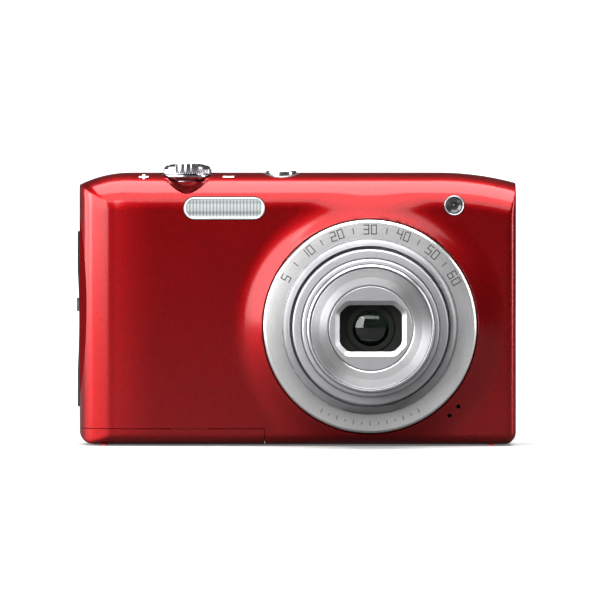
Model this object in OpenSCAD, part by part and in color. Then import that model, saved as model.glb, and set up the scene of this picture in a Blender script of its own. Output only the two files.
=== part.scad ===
// Compact digital camera with a 5x zoom lens, shown switched on: lens out at its wide end, cover open.
// Camera frame used below: X runs across the body, Z is up, and depth runs forward from the rear face.
// Depth is written as a positive number and becomes -Y, so the front of the camera faces -Y.

/* [Body] */
// Width of the shell
body_w = 93.8; // [93:0.1:96]
// Height of the shell at its flat top
body_h = 58.3; // [58:0.1:60]
// Depth of the shell from the rear face to the flat front
body_d = 17.6; // [17.6:0.1:19]
// Wall thickness of the shell
wall = 1.1; // [1:0.1:1.2]
// Radius of the broad rounding between front and top
top_round = 8; // [7:0.1:8.5]
// Radius of the broad rounding between front and grip side
grip_round = 7.6; // [7:0.1:8]

/* [Lens] */
// Distance of the lens axis from the middle of the body
lens_x = 15.55; // [15:0.05:16]
// Height of the lens axis
lens_z = 25.33; // [25:0.05:26]
// Outer radius of the bright trim ring
ring_r = 22.8; // [22.5:0.1:23]
// Distance of the front of the trim ring from the rear face
ring_d = 19.8; // [19.8:0.1:20]
// Outer radius of the outer barrel
outer_r = 16.6; // [16.4:0.1:16.6]
// Travel of the outer barrel from parked to wide
outer_travel = 8.2; // [7:0.1:8.2]
// Travel of the middle barrel on the outer barrel, from parked to wide
middle_travel = 5; // [4:0.1:5]
// Travel of the inner barrel on the middle barrel, from parked to wide
inner_travel = 4.3; // [4:0.1:4.5]
// Width of the lens window
window_w = 13.4; // [13:0.1:13.4]
// Height of the lens window
window_h = 10.05; // [9.5:0.05:10.05]

/* [Controls] */
// Distance of the shutter button from the middle of the body
shutter_x = -23.7; // [-24:0.1:-23]
// Outer radius of the zoom lever
lever_r = 5.65; // [5.5:0.05:5.7]
// Travel of the shutter button
shutter_travel = 0.9; // [0.5:0.1:0.9]
// Distance of the power button from the middle of the body
power_x = -3.45; // [-4:0.05:-3]
// Radius of the power button
power_r = 3.3; // [3:0.1:3.3]
// Outer radius of the four-way selector
selector_r = 9.2; // [8.5:0.1:9.2]

/* [Screen and battery] */
// Width of the screen window
lcd_w = 58.5; // [57:0.5:58.5]
// Height of the screen window
lcd_h = 45; // [44:0.5:45]
// Width of the battery
battery_w = 31.5; // [30:0.1:31.5]
// Height of the battery
battery_h = 39.5; // [38:0.1:39.5]
// Thickness of the battery
battery_t = 6; // [5.5:0.1:6]
// Height of the seam of the battery door
door_h = 3.44; // [3.3:0.01:3.6]

/* [Fittings] */
// Wall radius of the 1/4 inch tripod thread
tripod_r = 2.6; // [2.6:0.05:2.7]
// Depth of the tripod thread
tripod_depth = 5.5; // [4.5:0.1:5.5]
// Height of the rubber feet
foot_h = 0.35; // [0.3:0.05:0.5]

/* [Hidden] */
$fn = 96;

// Small amounts
eps = 0.05;
seam = 0.15;
bleed = 0.03;
over = 1;
broad_r = 20;
broad_sides = 720;

// Shell
left_x = -body_w / 2;
right_x = body_w / 2;
split_d = 8.8;
cavity_left_x = -44;
flare_d = body_d + 1.3;
flare_r = 28.5;
flare_sink = 0.06;
ring_seat_r = ring_r + 0.2;
ring_seat_d = body_d + 0.1;
lens_hole_r = 18.2;
top_left_r = 24;
top_left_x = -36;
top_right_r = 62;
top_right_x = 30.5;
base_left_r = 3;
base_right_r = 2.5;
base_front_r = 2.2;
base_rear_r = 0.8;
rear_top_r = 2;
upright_r = 2;
grip_cut_r = 123;
grip_cut_depth = 1.65;
grip_cut_z = 29.4;
grip_cut_d = 10.6;

// Case screws, two in the base and two in the right side
screw_places = [10, 35];
side_screw_places = [12, 46];
screw_d = 5;
screw_head_r = 1.3;
screw_head_t = 0.6;
screw_shank_r = 0.7;
screw_len = 2.6;

// Top plate
plate_d0 = 2.6;
plate_d1 = 10.4;
plate_x0 = -42.4;
plate_x1 = 42.7;
plate_t = 1.7;
shutter_d = 9.2;
lever_dish_r = 6.2;
lever_dish_z = 56.3;
lever_cup_r = 7;
lever_cup_z = 55.1;
lever_hole_r = 4.05;
power_dish_r = 4.4;
power_dish_z = 57.2;
power_cup_r = 5.2;
power_cup_z = 56;

// Flash, lamp and microphone
flash_x = -15.66;
flash_z = 50.64;
flash_w = 17.4;
flash_h = 4.8;
flash_rear_d = 15.9;
reflector_d = 12.4;
reflector_x0 = -flash_w / 2 + 1;
reflector_x1 = flash_w / 2 - 1;
reflector_t = 0.4;
tube_d = 14;
tube_r = 0.8;
lamp_x = 33.6;
lamp_z = 51.2;
lamp_r = 2.13;
lamp_rear_d = 14.2;
lamp_rim = 0.4;
mic_holes = [[34.5, 8.15], [32.6, 6.2]];
mic_hole_r = 0.45;

// Side panel
panel_x = left_x - 0.4;
panel_inner_x = -45.8;
panel_d0 = 3.4;
panel_d1 = 10.4;
panel_z0 = 7.9;
panel_z1 = 45.6;
panel_hollow_r = 193;
panel_hollow = 0.3;
bar_z = 29.8;
bar_h = 2.8;
bar_t = 1.2;
bar_proud = 0.65;
usb_z = 39.5;
usb_w = 7.7;
usb_t = 3.4;
usb_d = 6.9;
flap_d0 = 4.3;
flap_d1 = 9.5;
flap_z0 = 34.2;
flap_z1 = 44.8;
flap_t = 0.7;
flap_pin_r = 0.35;

// Screen
lcd_x = 15.8;
lcd_z = 28.5;
lcd_t = 0.8;
lcd_lip = 1.3;

// Frame and boards
chassis_d0 = 3.1;
chassis_d1 = 3.6;
board_t = 0.8;
main_board_d = 4.2;
main_board_x0 = -43.4;
main_board_x1 = -7.2;
main_board_z0 = 4.5;
main_board_z1 = 52;
sensor_w = 9;
sensor_h = 7.2;
sensor_d0 = 4.5;
sensor_d1 = 5.5;
sensor_board_w = 20;
sensor_board_h = 18;
sensor_room_w = 22;
sensor_room_h = 20;

// Battery door
door_x1 = -6.93;
door_top = door_h - seam;
door_axis_d = 2;
door_axis_z = 0.95;
door_pin_r = 0.5;
door_wall_d = 0.9;
door_slot_d = 3.4;
ear_x0 = -45.1;
ear_w = 1;
pin_x0 = -45;
pin_x1 = -6;
pin_room_x1 = -5.9;
door_arm_left_x = -43.6;
door_arm_right_x = -8.6;
door_arm_w = 0.8;
foot_x = 41.6;
foot_w = 1.3;
foot_d0 = 2.8;
foot_d1 = 16;

// Battery and card
battery_x = -23.15;
battery_d = 9.2;
battery_z = 4.4;
case_wall = 0.6;
card_w = 24;
card_h = 32;
card_t = 2.1;
card_x = -25;
card_d = 5.8;
card_z = 4.6;
latch_w = 8;
latch_t = 0.8;

// Lens, given with the lens out at its wide end
park_d = 19.4;
outer_front_d = park_d + outer_travel;
middle_front_d = outer_front_d + middle_travel;
inner_front_d = middle_front_d + inner_travel;
outer_len = 13.2;
middle_len = 12.8;
inner_len = 13.2;
barrel_base_d0 = 4.6;
barrel_base_d1 = 5.8;
barrel_base_r = 21.9;
barrel_front_d = 16.4;
lip_len = 1.2;
flange_t = 1;
slide_gap = 0.1;
fixed_in_r = 18.4;
fixed_out_r = 20;
outer_bore_r = 15.7;
outer_lip_r = 15;
middle_r = 14.6;
middle_bore_r = 13.95;
middle_lip_r = 13.7;
inner_r = 13.5;
inner_bore_r = 12.6;
inner_lip_r = 12.95;
face_r = 12.85;
disc_r = 8.97;
face_d = inner_front_d - 0.3;
face_t = 1.2;
window_cut = 1.8;
window_bevel = 1;
window_cut_share = 0.6;
blade_r = 12.3;
blade_d = face_d - 2;
blade_t = 0.4;
blade_edge = window_h / 2 + 0.25;
blade_travel = blade_edge - 0.02;
group_d0 = inner_front_d - 6.9;
group_d1 = blade_d - 0.3;
group_r = 12.3;
baffle_r = 3.9;
glass_r = 5;
rod_r = 0.5;
rod_x = 10.5;
rod_d1 = 16.2;
shutter_unit_d0 = 12.3;
shutter_unit_d1 = 15.3;
shutter_unit_r = 12;
aperture_r = 4;
focus_d0 = 6.6;
focus_d1 = 8.4;
focus_r = 11.8;
motor_off = 17.4;
drive_r = 21;

// Rear keys
key_r = 2.6;
key_proud = 0.3;
key_cap_d = 1.8;
key_flange = 0.5;
key_flange_d = 1.35;
playback_x = -21;
playback_z = 44;
display_x = -22.5;
menu_x = -39;
low_key_z = 11.5;
selector_x = -31;
selector_z = 27;
selector_in_r = 4.5;
selector_proud = 0.5;
set_r = 3.9;
switch_x = -33.5;
switch_z = 45.8;
switch_w = 5;
switch_h = 2.4;
switch_travel = 2;

// Tripod socket
tripod_x = -1.6;
tripod_out_r = 4.6;

// The row's origin is the middle of the box around the camera at rest, on the surface it stands on.
origin_x = (left_x - bar_proud + right_x) / 2;
origin_d = (inner_front_d - selector_proud) / 2;
module place() translate([-origin_x, origin_d, foot_h]) children();

// ---- Shared shapes ----

// A point given by x, depth and height
module at(x, d, z) translate([x, -d, z]) children();

// A box between two corners given by x, depth and height
module box(x0, x1, d0, d1, z0, z1) translate([x0, -d1, z0]) cube([x1 - x0, d1 - d0, z1 - z0]);

// A cylinder along the depth
module depth_cylinder(r, d0, d1) rotate([90, 0, 0]) translate([0, 0, d0]) cylinder(r = r, h = d1 - d0);

// The same with enough sides for a very large radius
module broad_cylinder(r, d0, d1) {
    rotate([90, 0, 0]) translate([0, 0, d0]) cylinder(r = r, h = d1 - d0, $fn = broad_sides);
}

// A ring along the depth
module depth_ring(r_out, r_in, d0, d1) {
    difference() {
        depth_cylinder(r_out, d0, d1);
        depth_cylinder(r_in, d0 - over, d1 + over);
    }
}

// An outline of radius and depth turned about the depth axis
module depth_turned(points) rotate([90, 0, 0]) rotate_extrude() polygon(points);

module on_lens_axis() translate([lens_x, 0, lens_z]) children();

// The corner of a plane outline that a rounding takes away; sx and sy say which corner it is
module corner(x, y, r, sx, sy) {
    translate([x - sx * r, y - sy * r])
        difference() {
            translate([sx > 0 ? 0 : -(r + over), sy > 0 ? 0 : -(r + over)]) square(r + over);
            circle(r, $fn = r > broad_r ? broad_sides : $fn);
        }
}

// Outline of the body seen from the front
module front_outline(inset) {
    difference() {
        translate([left_x + inset, inset]) square([body_w - 2 * inset, body_h - 2 * inset]);
        corner(top_left_x - top_left_r + inset, body_h - inset, top_left_r - inset, -1, 1);
        corner(top_right_x + top_right_r - inset, body_h - inset, top_right_r - inset, 1, 1);
        corner(left_x + inset, inset, base_left_r - inset, -1, -1);
        corner(right_x - inset, inset, base_right_r - inset, 1, -1);
    }
}

// Outline of the body seen from the side, as depth and height
module side_outline(inset, front_d) {
    difference() {
        translate([-front_d + inset, inset]) square([front_d - 2 * inset, body_h - 2 * inset]);
        corner(-front_d + inset, body_h - inset, top_round - inset, -1, 1);
        corner(-front_d + inset, inset, base_front_r - inset, -1, -1);
        corner(-inset, body_h - inset, rear_top_r - inset, 1, 1);
        if (inset < base_rear_r) corner(-inset, inset, base_rear_r - inset, 1, -1);
    }
}

// Outline of the body seen from above
module plan_outline(inset, front_d) {
    difference() {
        translate([left_x + inset - bleed, -front_d + inset])
            square([body_w - 2 * inset + bleed, front_d - 2 * inset]);
        corner(left_x + inset - bleed, -front_d + inset, grip_round - inset, -1, -1);
        corner(right_x - inset, -front_d + inset, upright_r - inset, 1, -1);
        corner(left_x + inset, -inset, upright_r - inset, -1, 1);
        corner(right_x - inset, -inset, upright_r - inset, 1, 1);
    }
}

// The whole outer form of the body, drawn in by inset
module body_form(inset = 0, front_d = body_d) {
    intersection() {
        rotate([90, 0, 0]) linear_extrude(height = front_d) front_outline(inset);
        translate([left_x, 0, 0]) rotate([90, 0, 90])
            linear_extrude(height = body_w) side_outline(inset, front_d);
        linear_extrude(height = body_h) plan_outline(inset, front_d);
    }
}

// The concave swelling that leads up to the trim ring
module lens_flare() {
    run = flare_r - ring_seat_r;
    rise = flare_d - body_d + flare_sink;
    swell_r = (run * run + rise * rise) / (2 * rise);
    intersection() {
        body_form(front_d = flare_d);
        on_lens_axis() difference() {
            depth_cylinder(flare_r, split_d, flare_d);
            rotate([90, 0, 0])
                rotate_extrude()
                    translate([flare_r, body_d - flare_sink + swell_r])
                        circle(swell_r);
        }
    }
}

module body_cavity() {
    intersection() {
        body_form(inset = wall);
        box(cavity_left_x, right_x, 0, body_d, 0, body_h);
    }
}

module capsule(w, h, d0, d1) {
    reach = (w - h) / 2;
    for (side = [-1, 1]) translate([side * reach, 0, 0]) depth_cylinder(h / 2, d0, d1);
    translate([-reach, -d1, -h / 2]) cube([2 * reach, d1 - d0, h]);
}

module door_room() box(left_x - over, door_x1, door_wall_d, body_d + over, -over, door_h);

module panel_room() {
    box(left_x - over, panel_inner_x + eps, panel_d0 - seam, panel_d1 + seam,
        panel_z0 - seam, panel_z1 + seam);
    box(left_x - over, cavity_left_x + over, usb_d - usb_t / 2 - seam, usb_d + usb_t / 2 + seam,
        usb_z - usb_w / 2 - seam, usb_z + usb_w / 2 + seam);
}

module plate_room() {
    box(plate_x0 - seam, plate_x1 + seam, plate_d0 - seam, plate_d1 + seam,
        body_h - plate_t - seam, body_h + over);
    at(shutter_x, shutter_d, lever_cup_z - seam) cylinder(r = lever_cup_r + seam, h = body_h);
    at(power_x, shutter_d, power_cup_z - seam) cylinder(r = power_cup_r + seam, h = body_h);
}

module tripod_room() at(tripod_x, split_d, -over) cylinder(r = tripod_out_r + seam, h = 2 * over + wall);

// ---- Shell ----

module front_cover() {
    color("firebrick") difference() {
        union() {
            intersection() {
                body_form();
                box(left_x, right_x, split_d, body_d, 0, body_h);
            }
            lens_flare();
        }
        body_cavity();
        on_lens_axis() depth_cylinder(lens_hole_r, split_d - over, flare_d + over);
        on_lens_axis() depth_cylinder(ring_seat_r, ring_seat_d, flare_d + over);
        at(left_x - grip_cut_r + grip_cut_depth, 0, grip_cut_z)
            broad_cylinder(grip_cut_r, grip_cut_d, flare_d + over);
        at(flash_x, 0, flash_z) capsule(flash_w + 2 * seam, flash_h + 2 * seam, split_d, flare_d);
        at(lamp_x, 0, lamp_z) depth_cylinder(lamp_r + seam, split_d, flare_d);
        for (hole = mic_holes) at(hole[0], 0, hole[1]) depth_cylinder(mic_hole_r, split_d, flare_d);
        door_room();
        panel_room();
        plate_room();
        tripod_room();
    }
}

// Everything that one screw leaves in the shell it goes through, or the screw itself
module screw_form(head_r, shank_r, proud) {
    translate([0, 0, -proud]) cylinder(r = head_r, h = screw_head_t + proud);
    cylinder(r = shank_r, h = screw_len);
}

module each_screw() {
    for (x = screw_places) at(x, screw_d, 0) children();
    for (z = side_screw_places) at(right_x, screw_d, z) rotate([0, -90, 0]) children();
}

module rear_cover() {
    color("firebrick") difference() {
        union() {
            intersection() {
                difference() {
                    body_form();
                    body_cavity();
                    door_room();
                    panel_room();
                    plate_room();
                    tripod_room();
                }
                box(left_x, right_x, 0, split_d, 0, body_h);
            }
            door_ears();
        }
        each_screw() screw_form(screw_head_r + eps, screw_shank_r + eps, over);
        lcd_recess();
        key_holes();
        at(ear_x0 - eps, door_axis_d, door_axis_z)
            rotate([0, 90, 0]) cylinder(r = door_pin_r + eps, h = pin_room_x1 - ear_x0);
    }
}

// The two ears that hold the pin of the battery door
module door_ears() {
    ear_d1 = door_axis_d + door_axis_z;
    ear_z1 = 2 * door_axis_z + wall;
    box(ear_x0, ear_x0 + ear_w, door_wall_d - eps, ear_d1, eps, ear_z1 + wall);
    box(door_x1 + eps, door_x1 + wall, door_wall_d - eps, ear_d1, eps, ear_z1);
}

module lcd_recess() {
    box(lcd_x - lcd_w / 2 - eps, lcd_x + lcd_w / 2 + eps, -over, lcd_t,
        lcd_z - lcd_h / 2 - eps, lcd_z + lcd_h / 2 + eps);
    box(lcd_x - lcd_w / 2 + lcd_lip, lcd_x + lcd_w / 2 - lcd_lip, -over, 2 * over,
        lcd_z - lcd_h / 2 + lcd_lip, lcd_z + lcd_h / 2 - lcd_lip);
}

module key_holes() {
    at(playback_x, 0, playback_z) depth_cylinder(key_r + seam, -over, 2 * over);
    for (x = [display_x, menu_x]) at(x, 0, low_key_z) depth_cylinder(key_r + seam, -over, 2 * over);
    at(selector_x, 0, selector_z) depth_cylinder(selector_r + 2 * seam, -over, 2 * over);
    at(switch_x, 0, switch_z)
        capsule(switch_w + 2 * switch_travel + 2 * seam, switch_h + 2 * seam, -over, 2 * over);
}

module top_plate() {
    color("firebrick") difference() {
        intersection() {
            body_form();
            union() {
                box(plate_x0, plate_x1, plate_d0, plate_d1, body_h - plate_t, body_h);
                at(shutter_x, shutter_d, lever_cup_z) cylinder(r = lever_cup_r, h = body_h - lever_cup_z);
                at(power_x, shutter_d, power_cup_z) cylinder(r = power_cup_r, h = body_h - power_cup_z);
            }
        }
        at(shutter_x, shutter_d, lever_dish_z) cylinder(r = lever_dish_r, h = body_h);
        at(shutter_x, shutter_d, lever_cup_z - over) cylinder(r = lever_hole_r, h = body_h);
        at(power_x, shutter_d, power_dish_z) cylinder(r = power_dish_r, h = body_h);
        at(power_x, shutter_d, power_cup_z - over) cylinder(r = power_r + seam, h = body_h);
    }
}

module lens_ring() {
    bore_r = 17.2;
    bevel_r = 18.9;
    bevel_d = 1.3;
    edge = 0.4;
    color("silver") on_lens_axis() depth_turned([
        [bore_r, ring_seat_d], [ring_r, ring_seat_d], [ring_r, ring_d - edge], [ring_r - edge, ring_d],
        [bevel_r, ring_d], [bore_r, ring_d - bevel_d]
    ]);
}

module side_panel() {
    pocket_z = 3.4;
    pocket_x = -44.9;
    flap_gap = 0.2;
    color([0.08, 0.08, 0.09]) difference() {
        box(panel_x, panel_inner_x, panel_d0, panel_d1, panel_z0, panel_z1);
        at(panel_x - panel_hollow_r + panel_hollow, 0, (panel_z0 + panel_z1) / 2)
            broad_cylinder(panel_hollow_r, 0, body_d);
        box(panel_x - over, panel_inner_x + over, flap_d0 - flap_gap, flap_d1 + flap_gap,
            flap_z0 - flap_gap, flap_z1 + flap_gap);
        box(panel_x - over, panel_inner_x + over, panel_d0 + wall, panel_d1 - wall,
            bar_z - pocket_z, bar_z + pocket_z);
    }
}

module strap_bar() {
    color("silver") box(left_x - bar_proud, left_x - bar_proud + bar_t, panel_d0 + wall, panel_d1 - wall,
        bar_z - bar_h / 2, bar_z + bar_h / 2);
}

module usb_connector() {
    shell_x0 = -45.9;
    shell_x1 = -39.9;
    sheet = 0.35;
    tongue = 0.9;
    color("silver") difference() {
        box(shell_x0, shell_x1, usb_d - usb_t / 2, usb_d + usb_t / 2, usb_z - usb_w / 2, usb_z + usb_w / 2);
        box(shell_x0 - over, shell_x1 - over, usb_d - usb_t / 2 + sheet, usb_d + usb_t / 2 - sheet,
            usb_z - usb_w / 2 + sheet, usb_z + usb_w / 2 - sheet);
    }
    color([0.1, 0.1, 0.1]) box(shell_x0 + over, shell_x1 - sheet, usb_d - tongue / 2, usb_d + tongue / 2,
        usb_z - usb_w / 2 + over, usb_z + usb_w / 2 - over);
}

module foot_at(x) box(x - foot_w / 2, x + foot_w / 2, foot_d0, foot_d1, -foot_h, 0);

module base_foot() color("firebrick") foot_at(foot_x);

module tripod_socket() {
    head = 1;
    color("gainsboro") difference() {
        at(tripod_x, split_d, 0) cylinder(r = tripod_out_r, h = tripod_depth + head);
        at(tripod_x, split_d, -over) cylinder(r = tripod_r, h = tripod_depth + over);
    }
}

// ---- Flash, lamp and microphone ----

module flash_window() {
    color([0.85, 0.88, 0.92, 0.6]) intersection() {
        body_form(inset = seam);
        at(flash_x, 0, flash_z) capsule(flash_w, flash_h, flash_rear_d, body_d);
    }
}

module flash_reflector() {
    half_h = flash_h / 2;
    color("white") at(flash_x, 0, flash_z) difference() {
        box(reflector_x0, reflector_x1, reflector_d, flash_rear_d - eps, -half_h, half_h);
        box(reflector_x0 + reflector_t, reflector_x1 - reflector_t,
            reflector_d + reflector_t, flash_rear_d + over, -half_h + reflector_t, half_h - reflector_t);
    }
}

module flash_tube() {
    x0 = reflector_x0 + reflector_t;
    x1 = reflector_x1 - reflector_t;
    color([0.9, 0.95, 1, 0.5]) at(flash_x + x0, tube_d, flash_z)
        rotate([0, 90, 0]) cylinder(r = tube_r, h = x1 - x0);
}

module flash_capacitor() {
    can_r = 3.9;
    can_x = 41.6;
    can_d = 9.5;
    can_z0 = 16;
    can_z1 = 42.5;
    color([0.12, 0.12, 0.13]) at(can_x, can_d, can_z0) cylinder(r = can_r, h = can_z1 - can_z0);
}

module lamp_bezel() {
    color([0.35, 0.35, 0.36]) intersection() {
        body_form(inset = eps);
        at(lamp_x, 0, lamp_z) depth_ring(lamp_r, lamp_r - lamp_rim, lamp_rear_d, body_d);
    }
}

module lamp_lens() {
    color([0.05, 0.05, 0.06]) intersection() {
        body_form(inset = seam);
        at(lamp_x, 0, lamp_z) depth_cylinder(lamp_r - lamp_rim, lamp_rear_d, body_d);
    }
}

module microphone() {
    mic_r = 2.2;
    mic_d0 = 14.6;
    mic_d1 = 16.4;
    color("dimgray") at((mic_holes[0][0] + mic_holes[1][0]) / 2, 0, (mic_holes[0][1] + mic_holes[1][1]) / 2)
        depth_cylinder(mic_r, mic_d0, mic_d1);
}

// ---- Screen, boards and frame ----

module lcd_window() {
    color([0.03, 0.03, 0.04])
        box(lcd_x - lcd_w / 2, lcd_x + lcd_w / 2, 0, lcd_t, lcd_z - lcd_h / 2, lcd_z + lcd_h / 2);
}

module lcd_panel() {
    margin = 0.75;
    panel_t = 1.7;
    color("slategray") box(lcd_x - lcd_w / 2 + margin, lcd_x + lcd_w / 2 - margin,
        wall + eps, wall + eps + panel_t, lcd_z - lcd_h / 2 + margin, lcd_z + lcd_h / 2 - margin);
}

module chassis() {
    chassis_x0 = -6.5;
    chassis_x1 = 44.5;
    chassis_z0 = 2.5;
    chassis_z1 = 55;
    tab = 0.8;
    tab_z = 1.3;
    tab_x = 44.6;
    tab_half = 3;
    tab_d1 = 7;
    shelf_d1 = 14;
    shelf_x1 = 5;
    color("gainsboro") difference() {
        union() {
            box(chassis_x0, chassis_x1, chassis_d0, chassis_d1, chassis_z0, chassis_z1);
            box(chassis_x0, shelf_x1, chassis_d0, shelf_d1, tab_z, tab_z + 2 * tab);
            for (x = screw_places)
                box(x - tab_half, x + tab_half, chassis_d0, tab_d1, tab_z, chassis_z0 + tab);
            for (z = side_screw_places)
                box(tab_x - 2 * tab, tab_x + tab, chassis_d0, tab_d1, z - tab_half, z + tab_half);
        }
        box(lens_x - sensor_room_w / 2, lens_x + sensor_room_w / 2, chassis_d0 - over, chassis_d1 + over,
            lens_z - sensor_room_h / 2, lens_z + sensor_room_h / 2);
        at(tripod_x, split_d, 0) cylinder(r = tripod_out_r + eps, h = body_h / 2);
        each_screw() screw_form(screw_head_r, screw_shank_r, 0);
    }
}

module main_board() {
    color("darkgreen") box(main_board_x0, main_board_x1, main_board_d, main_board_d + board_t,
        main_board_z0, main_board_z1);
}

// ---- Battery and card ----

module battery() {
    round = 0.8;
    x0 = battery_x - battery_w / 2;
    color([0.15, 0.15, 0.16]) at(x0, battery_d + battery_t, battery_z) linear_extrude(height = battery_h)
        difference() {
            square([battery_w, battery_t]);
            corner(0, 0, round, -1, -1);
            corner(battery_w, 0, round, 1, -1);
            corner(0, battery_t, round, -1, 1);
            corner(battery_w, battery_t, round, 1, 1);
        }
}

module battery_case() {
    x0 = battery_x - battery_w / 2 - eps;
    x1 = battery_x + battery_w / 2 + eps;
    d0 = battery_d - eps;
    d1 = battery_d + battery_t + eps;
    z1 = battery_z + battery_h + eps;
    color([0.2, 0.2, 0.22]) difference() {
        box(x0 - case_wall, x1 + case_wall, d0 - case_wall, d1 + case_wall,
            battery_z - 2 * eps, z1 + case_wall);
        box(x0, x1, d0, d1, 0, z1);
    }
}

module memory_card() {
    cut = 4;
    color("midnightblue") difference() {
        box(card_x - card_w / 2, card_x + card_w / 2, card_d, card_d + card_t, card_z, card_z + card_h);
        at(card_x - card_w / 2, 0, card_z + card_h) rotate([0, 45, 0])
            box(-cut / sqrt(2), cut / sqrt(2), 0, body_d, -cut / sqrt(2), cut / sqrt(2));
    }
}

module card_socket() {
    sheet = 0.3;
    play = 0.05;
    x0 = card_x - card_w / 2 - play;
    x1 = card_x + card_w / 2 + play;
    d0 = card_d - play;
    d1 = card_d + card_t + play;
    z0 = card_z + over;
    z1 = card_z + card_h + play;
    color("silver") difference() {
        box(x0 - sheet, x1 + sheet, d0 - sheet, d1 + sheet, z0, z1 + sheet);
        box(x0, x1, d0, d1, 0, z1);
    }
}

module battery_latch() {
    color("darkorange") box(battery_x - latch_w / 2, battery_x + latch_w / 2,
        battery_d + battery_t - latch_t, battery_d + battery_t, door_h - 6 * eps, battery_z - 4 * eps);
}

// ---- Lens unit ----

module fixed_barrel() {
    ear_r = 4.5;
    opening_w = 12;
    opening_h = 10;
    color([0.13, 0.13, 0.14]) on_lens_axis() difference() {
        union() {
            depth_cylinder(barrel_base_r, barrel_base_d0, barrel_base_d1);
            depth_cylinder(fixed_out_r, barrel_base_d1 - eps, barrel_front_d);
            for (side = [-1, 1])
                translate([side * motor_off, 0, motor_off])
                    depth_cylinder(ear_r, barrel_base_d0, barrel_base_d1);
        }
        depth_cylinder(fixed_in_r, barrel_base_d1, barrel_front_d + over);
        box(-opening_w / 2, opening_w / 2, sensor_d0, barrel_base_d1 + over, -opening_h / 2, opening_h / 2);
        for (side = [-1, 1]) translate([side * rod_x, 0, 0]) depth_cylinder(rod_r, 0, body_d);
    }
}

module guide_rods() {
    color("silver") on_lens_axis() for (side = [-1, 1])
        translate([side * rod_x, 0, 0]) depth_cylinder(rod_r, barrel_base_d0, rod_d1);
}

module image_sensor() {
    color([0.2, 0.25, 0.35]) on_lens_axis()
        box(-sensor_w / 2, sensor_w / 2, sensor_d0, sensor_d1, -sensor_h / 2, sensor_h / 2);
}

module sensor_board() {
    color("darkgreen") on_lens_axis() box(-sensor_board_w / 2, sensor_board_w / 2,
        sensor_d0 - board_t, sensor_d0, -sensor_board_h / 2, sensor_board_h / 2);
}

module zoom_motor() {
    motor_r = 3.1;
    motor_d1 = 14.5;
    shaft_r = 0.8;
    shaft_d1 = 16;
    color("silver") on_lens_axis() translate([-motor_off, 0, motor_off]) {
        depth_cylinder(motor_r, barrel_base_d1 + eps, motor_d1);
        depth_cylinder(shaft_r, motor_d1 - eps, shaft_d1);
    }
}

module focus_motor() {
    motor_r = 2.8;
    motor_d1 = 12.5;
    color("silver") on_lens_axis() translate([motor_off, 0, motor_off])
        depth_cylinder(motor_r, barrel_base_d1 + eps, motor_d1);
}

module drive_ring() {
    ring_d0 = 7;
    ring_d1 = 13;
    slot_d = 9;
    slot_w = 2;
    color([0.25, 0.25, 0.27]) on_lens_axis() difference() {
        depth_ring(drive_r, fixed_out_r + 2 * eps, ring_d0, ring_d1);
        for (turn = [0, 120, 240]) rotate([0, turn, 0])
            box(fixed_out_r - over, drive_r + over, slot_d, slot_d + slot_w, -slot_w / 2, slot_w / 2);
    }
}

// One telescoping barrel: a lip inside its front end and a flange round its rear end
module barrel(r_out, r_bore, r_lip, front_d, len, flange_r) {
    rear_d = front_d - len;
    edge = 0.25;
    on_lens_axis() depth_turned([
        [r_bore, rear_d], [flange_r, rear_d], [flange_r, rear_d + flange_t], [r_out, rear_d + flange_t],
        [r_out, front_d - edge], [r_out - edge, front_d], [r_lip + edge, front_d], [r_lip, front_d - edge],
        [r_lip, front_d - lip_len], [r_bore, front_d - lip_len]
    ]);
}

module outer_barrel() {
    color("darkgray")
        barrel(outer_r, outer_bore_r, outer_lip_r, outer_front_d, outer_len, fixed_in_r - slide_gap);
}

module middle_barrel() {
    color("darkgray")
        barrel(middle_r, middle_bore_r, middle_lip_r, middle_front_d, middle_len, outer_bore_r - slide_gap);
}

module inner_barrel() {
    rear_d = inner_front_d - inner_len;
    edge = 0.2;
    color("silver") on_lens_axis() depth_turned([
        [inner_bore_r, rear_d], [middle_bore_r - slide_gap, rear_d],
        [middle_bore_r - slide_gap, rear_d + flange_t], [inner_r, rear_d + flange_t],
        [inner_r, inner_front_d - edge], [inner_r - edge, inner_front_d],
        [inner_lip_r, inner_front_d], [inner_lip_r, face_d - face_t], [inner_bore_r, face_d - face_t]
    ]);
}

module front_ring() {
    color("silver") on_lens_axis() depth_ring(face_r, disc_r + eps, face_d - face_t, face_d);
}

// The lens window with its cut corners
module window_outline(grow) {
    w = window_w / 2 + grow;
    h = window_h / 2 + grow;
    cut = window_cut + grow * window_cut_share;
    polygon([
        [-w + cut, -h], [w - cut, -h], [w, -h + cut], [w, h - cut],
        [w - cut, h], [-w + cut, h], [-w, h - cut], [-w, -h + cut]
    ]);
}

// The disc round the window, whose bevel goes down in steps
module barrier_frame() {
    bevel_steps = 3;
    bevel_t = 0.84;
    color("silver") on_lens_axis() difference() {
        depth_cylinder(disc_r - eps, face_d - face_t, face_d);
        for (step = [0:bevel_steps])
            rotate([90, 0, 0])
                translate([0, 0, face_d - (step < bevel_steps ? bevel_t * (step + 1) / bevel_steps : 2 * face_t)])
                    linear_extrude(height = 3 * face_t) window_outline(window_bevel * (1 / 2 - step / bevel_steps));
    }
}

// One half of the lens cover, above the window when side is 1
module blade(side) {
    on_lens_axis() intersection() {
        depth_cylinder(blade_r, blade_d, blade_d + blade_t);
        translate([-blade_r, -blade_d - over, side > 0 ? blade_edge : -blade_edge - blade_r])
            cube([2 * blade_r, 2 * over, blade_r]);
    }
}

module upper_blade() color([0.15, 0.15, 0.16]) blade(1);

module lower_blade() color([0.15, 0.15, 0.16]) blade(-1);

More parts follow.
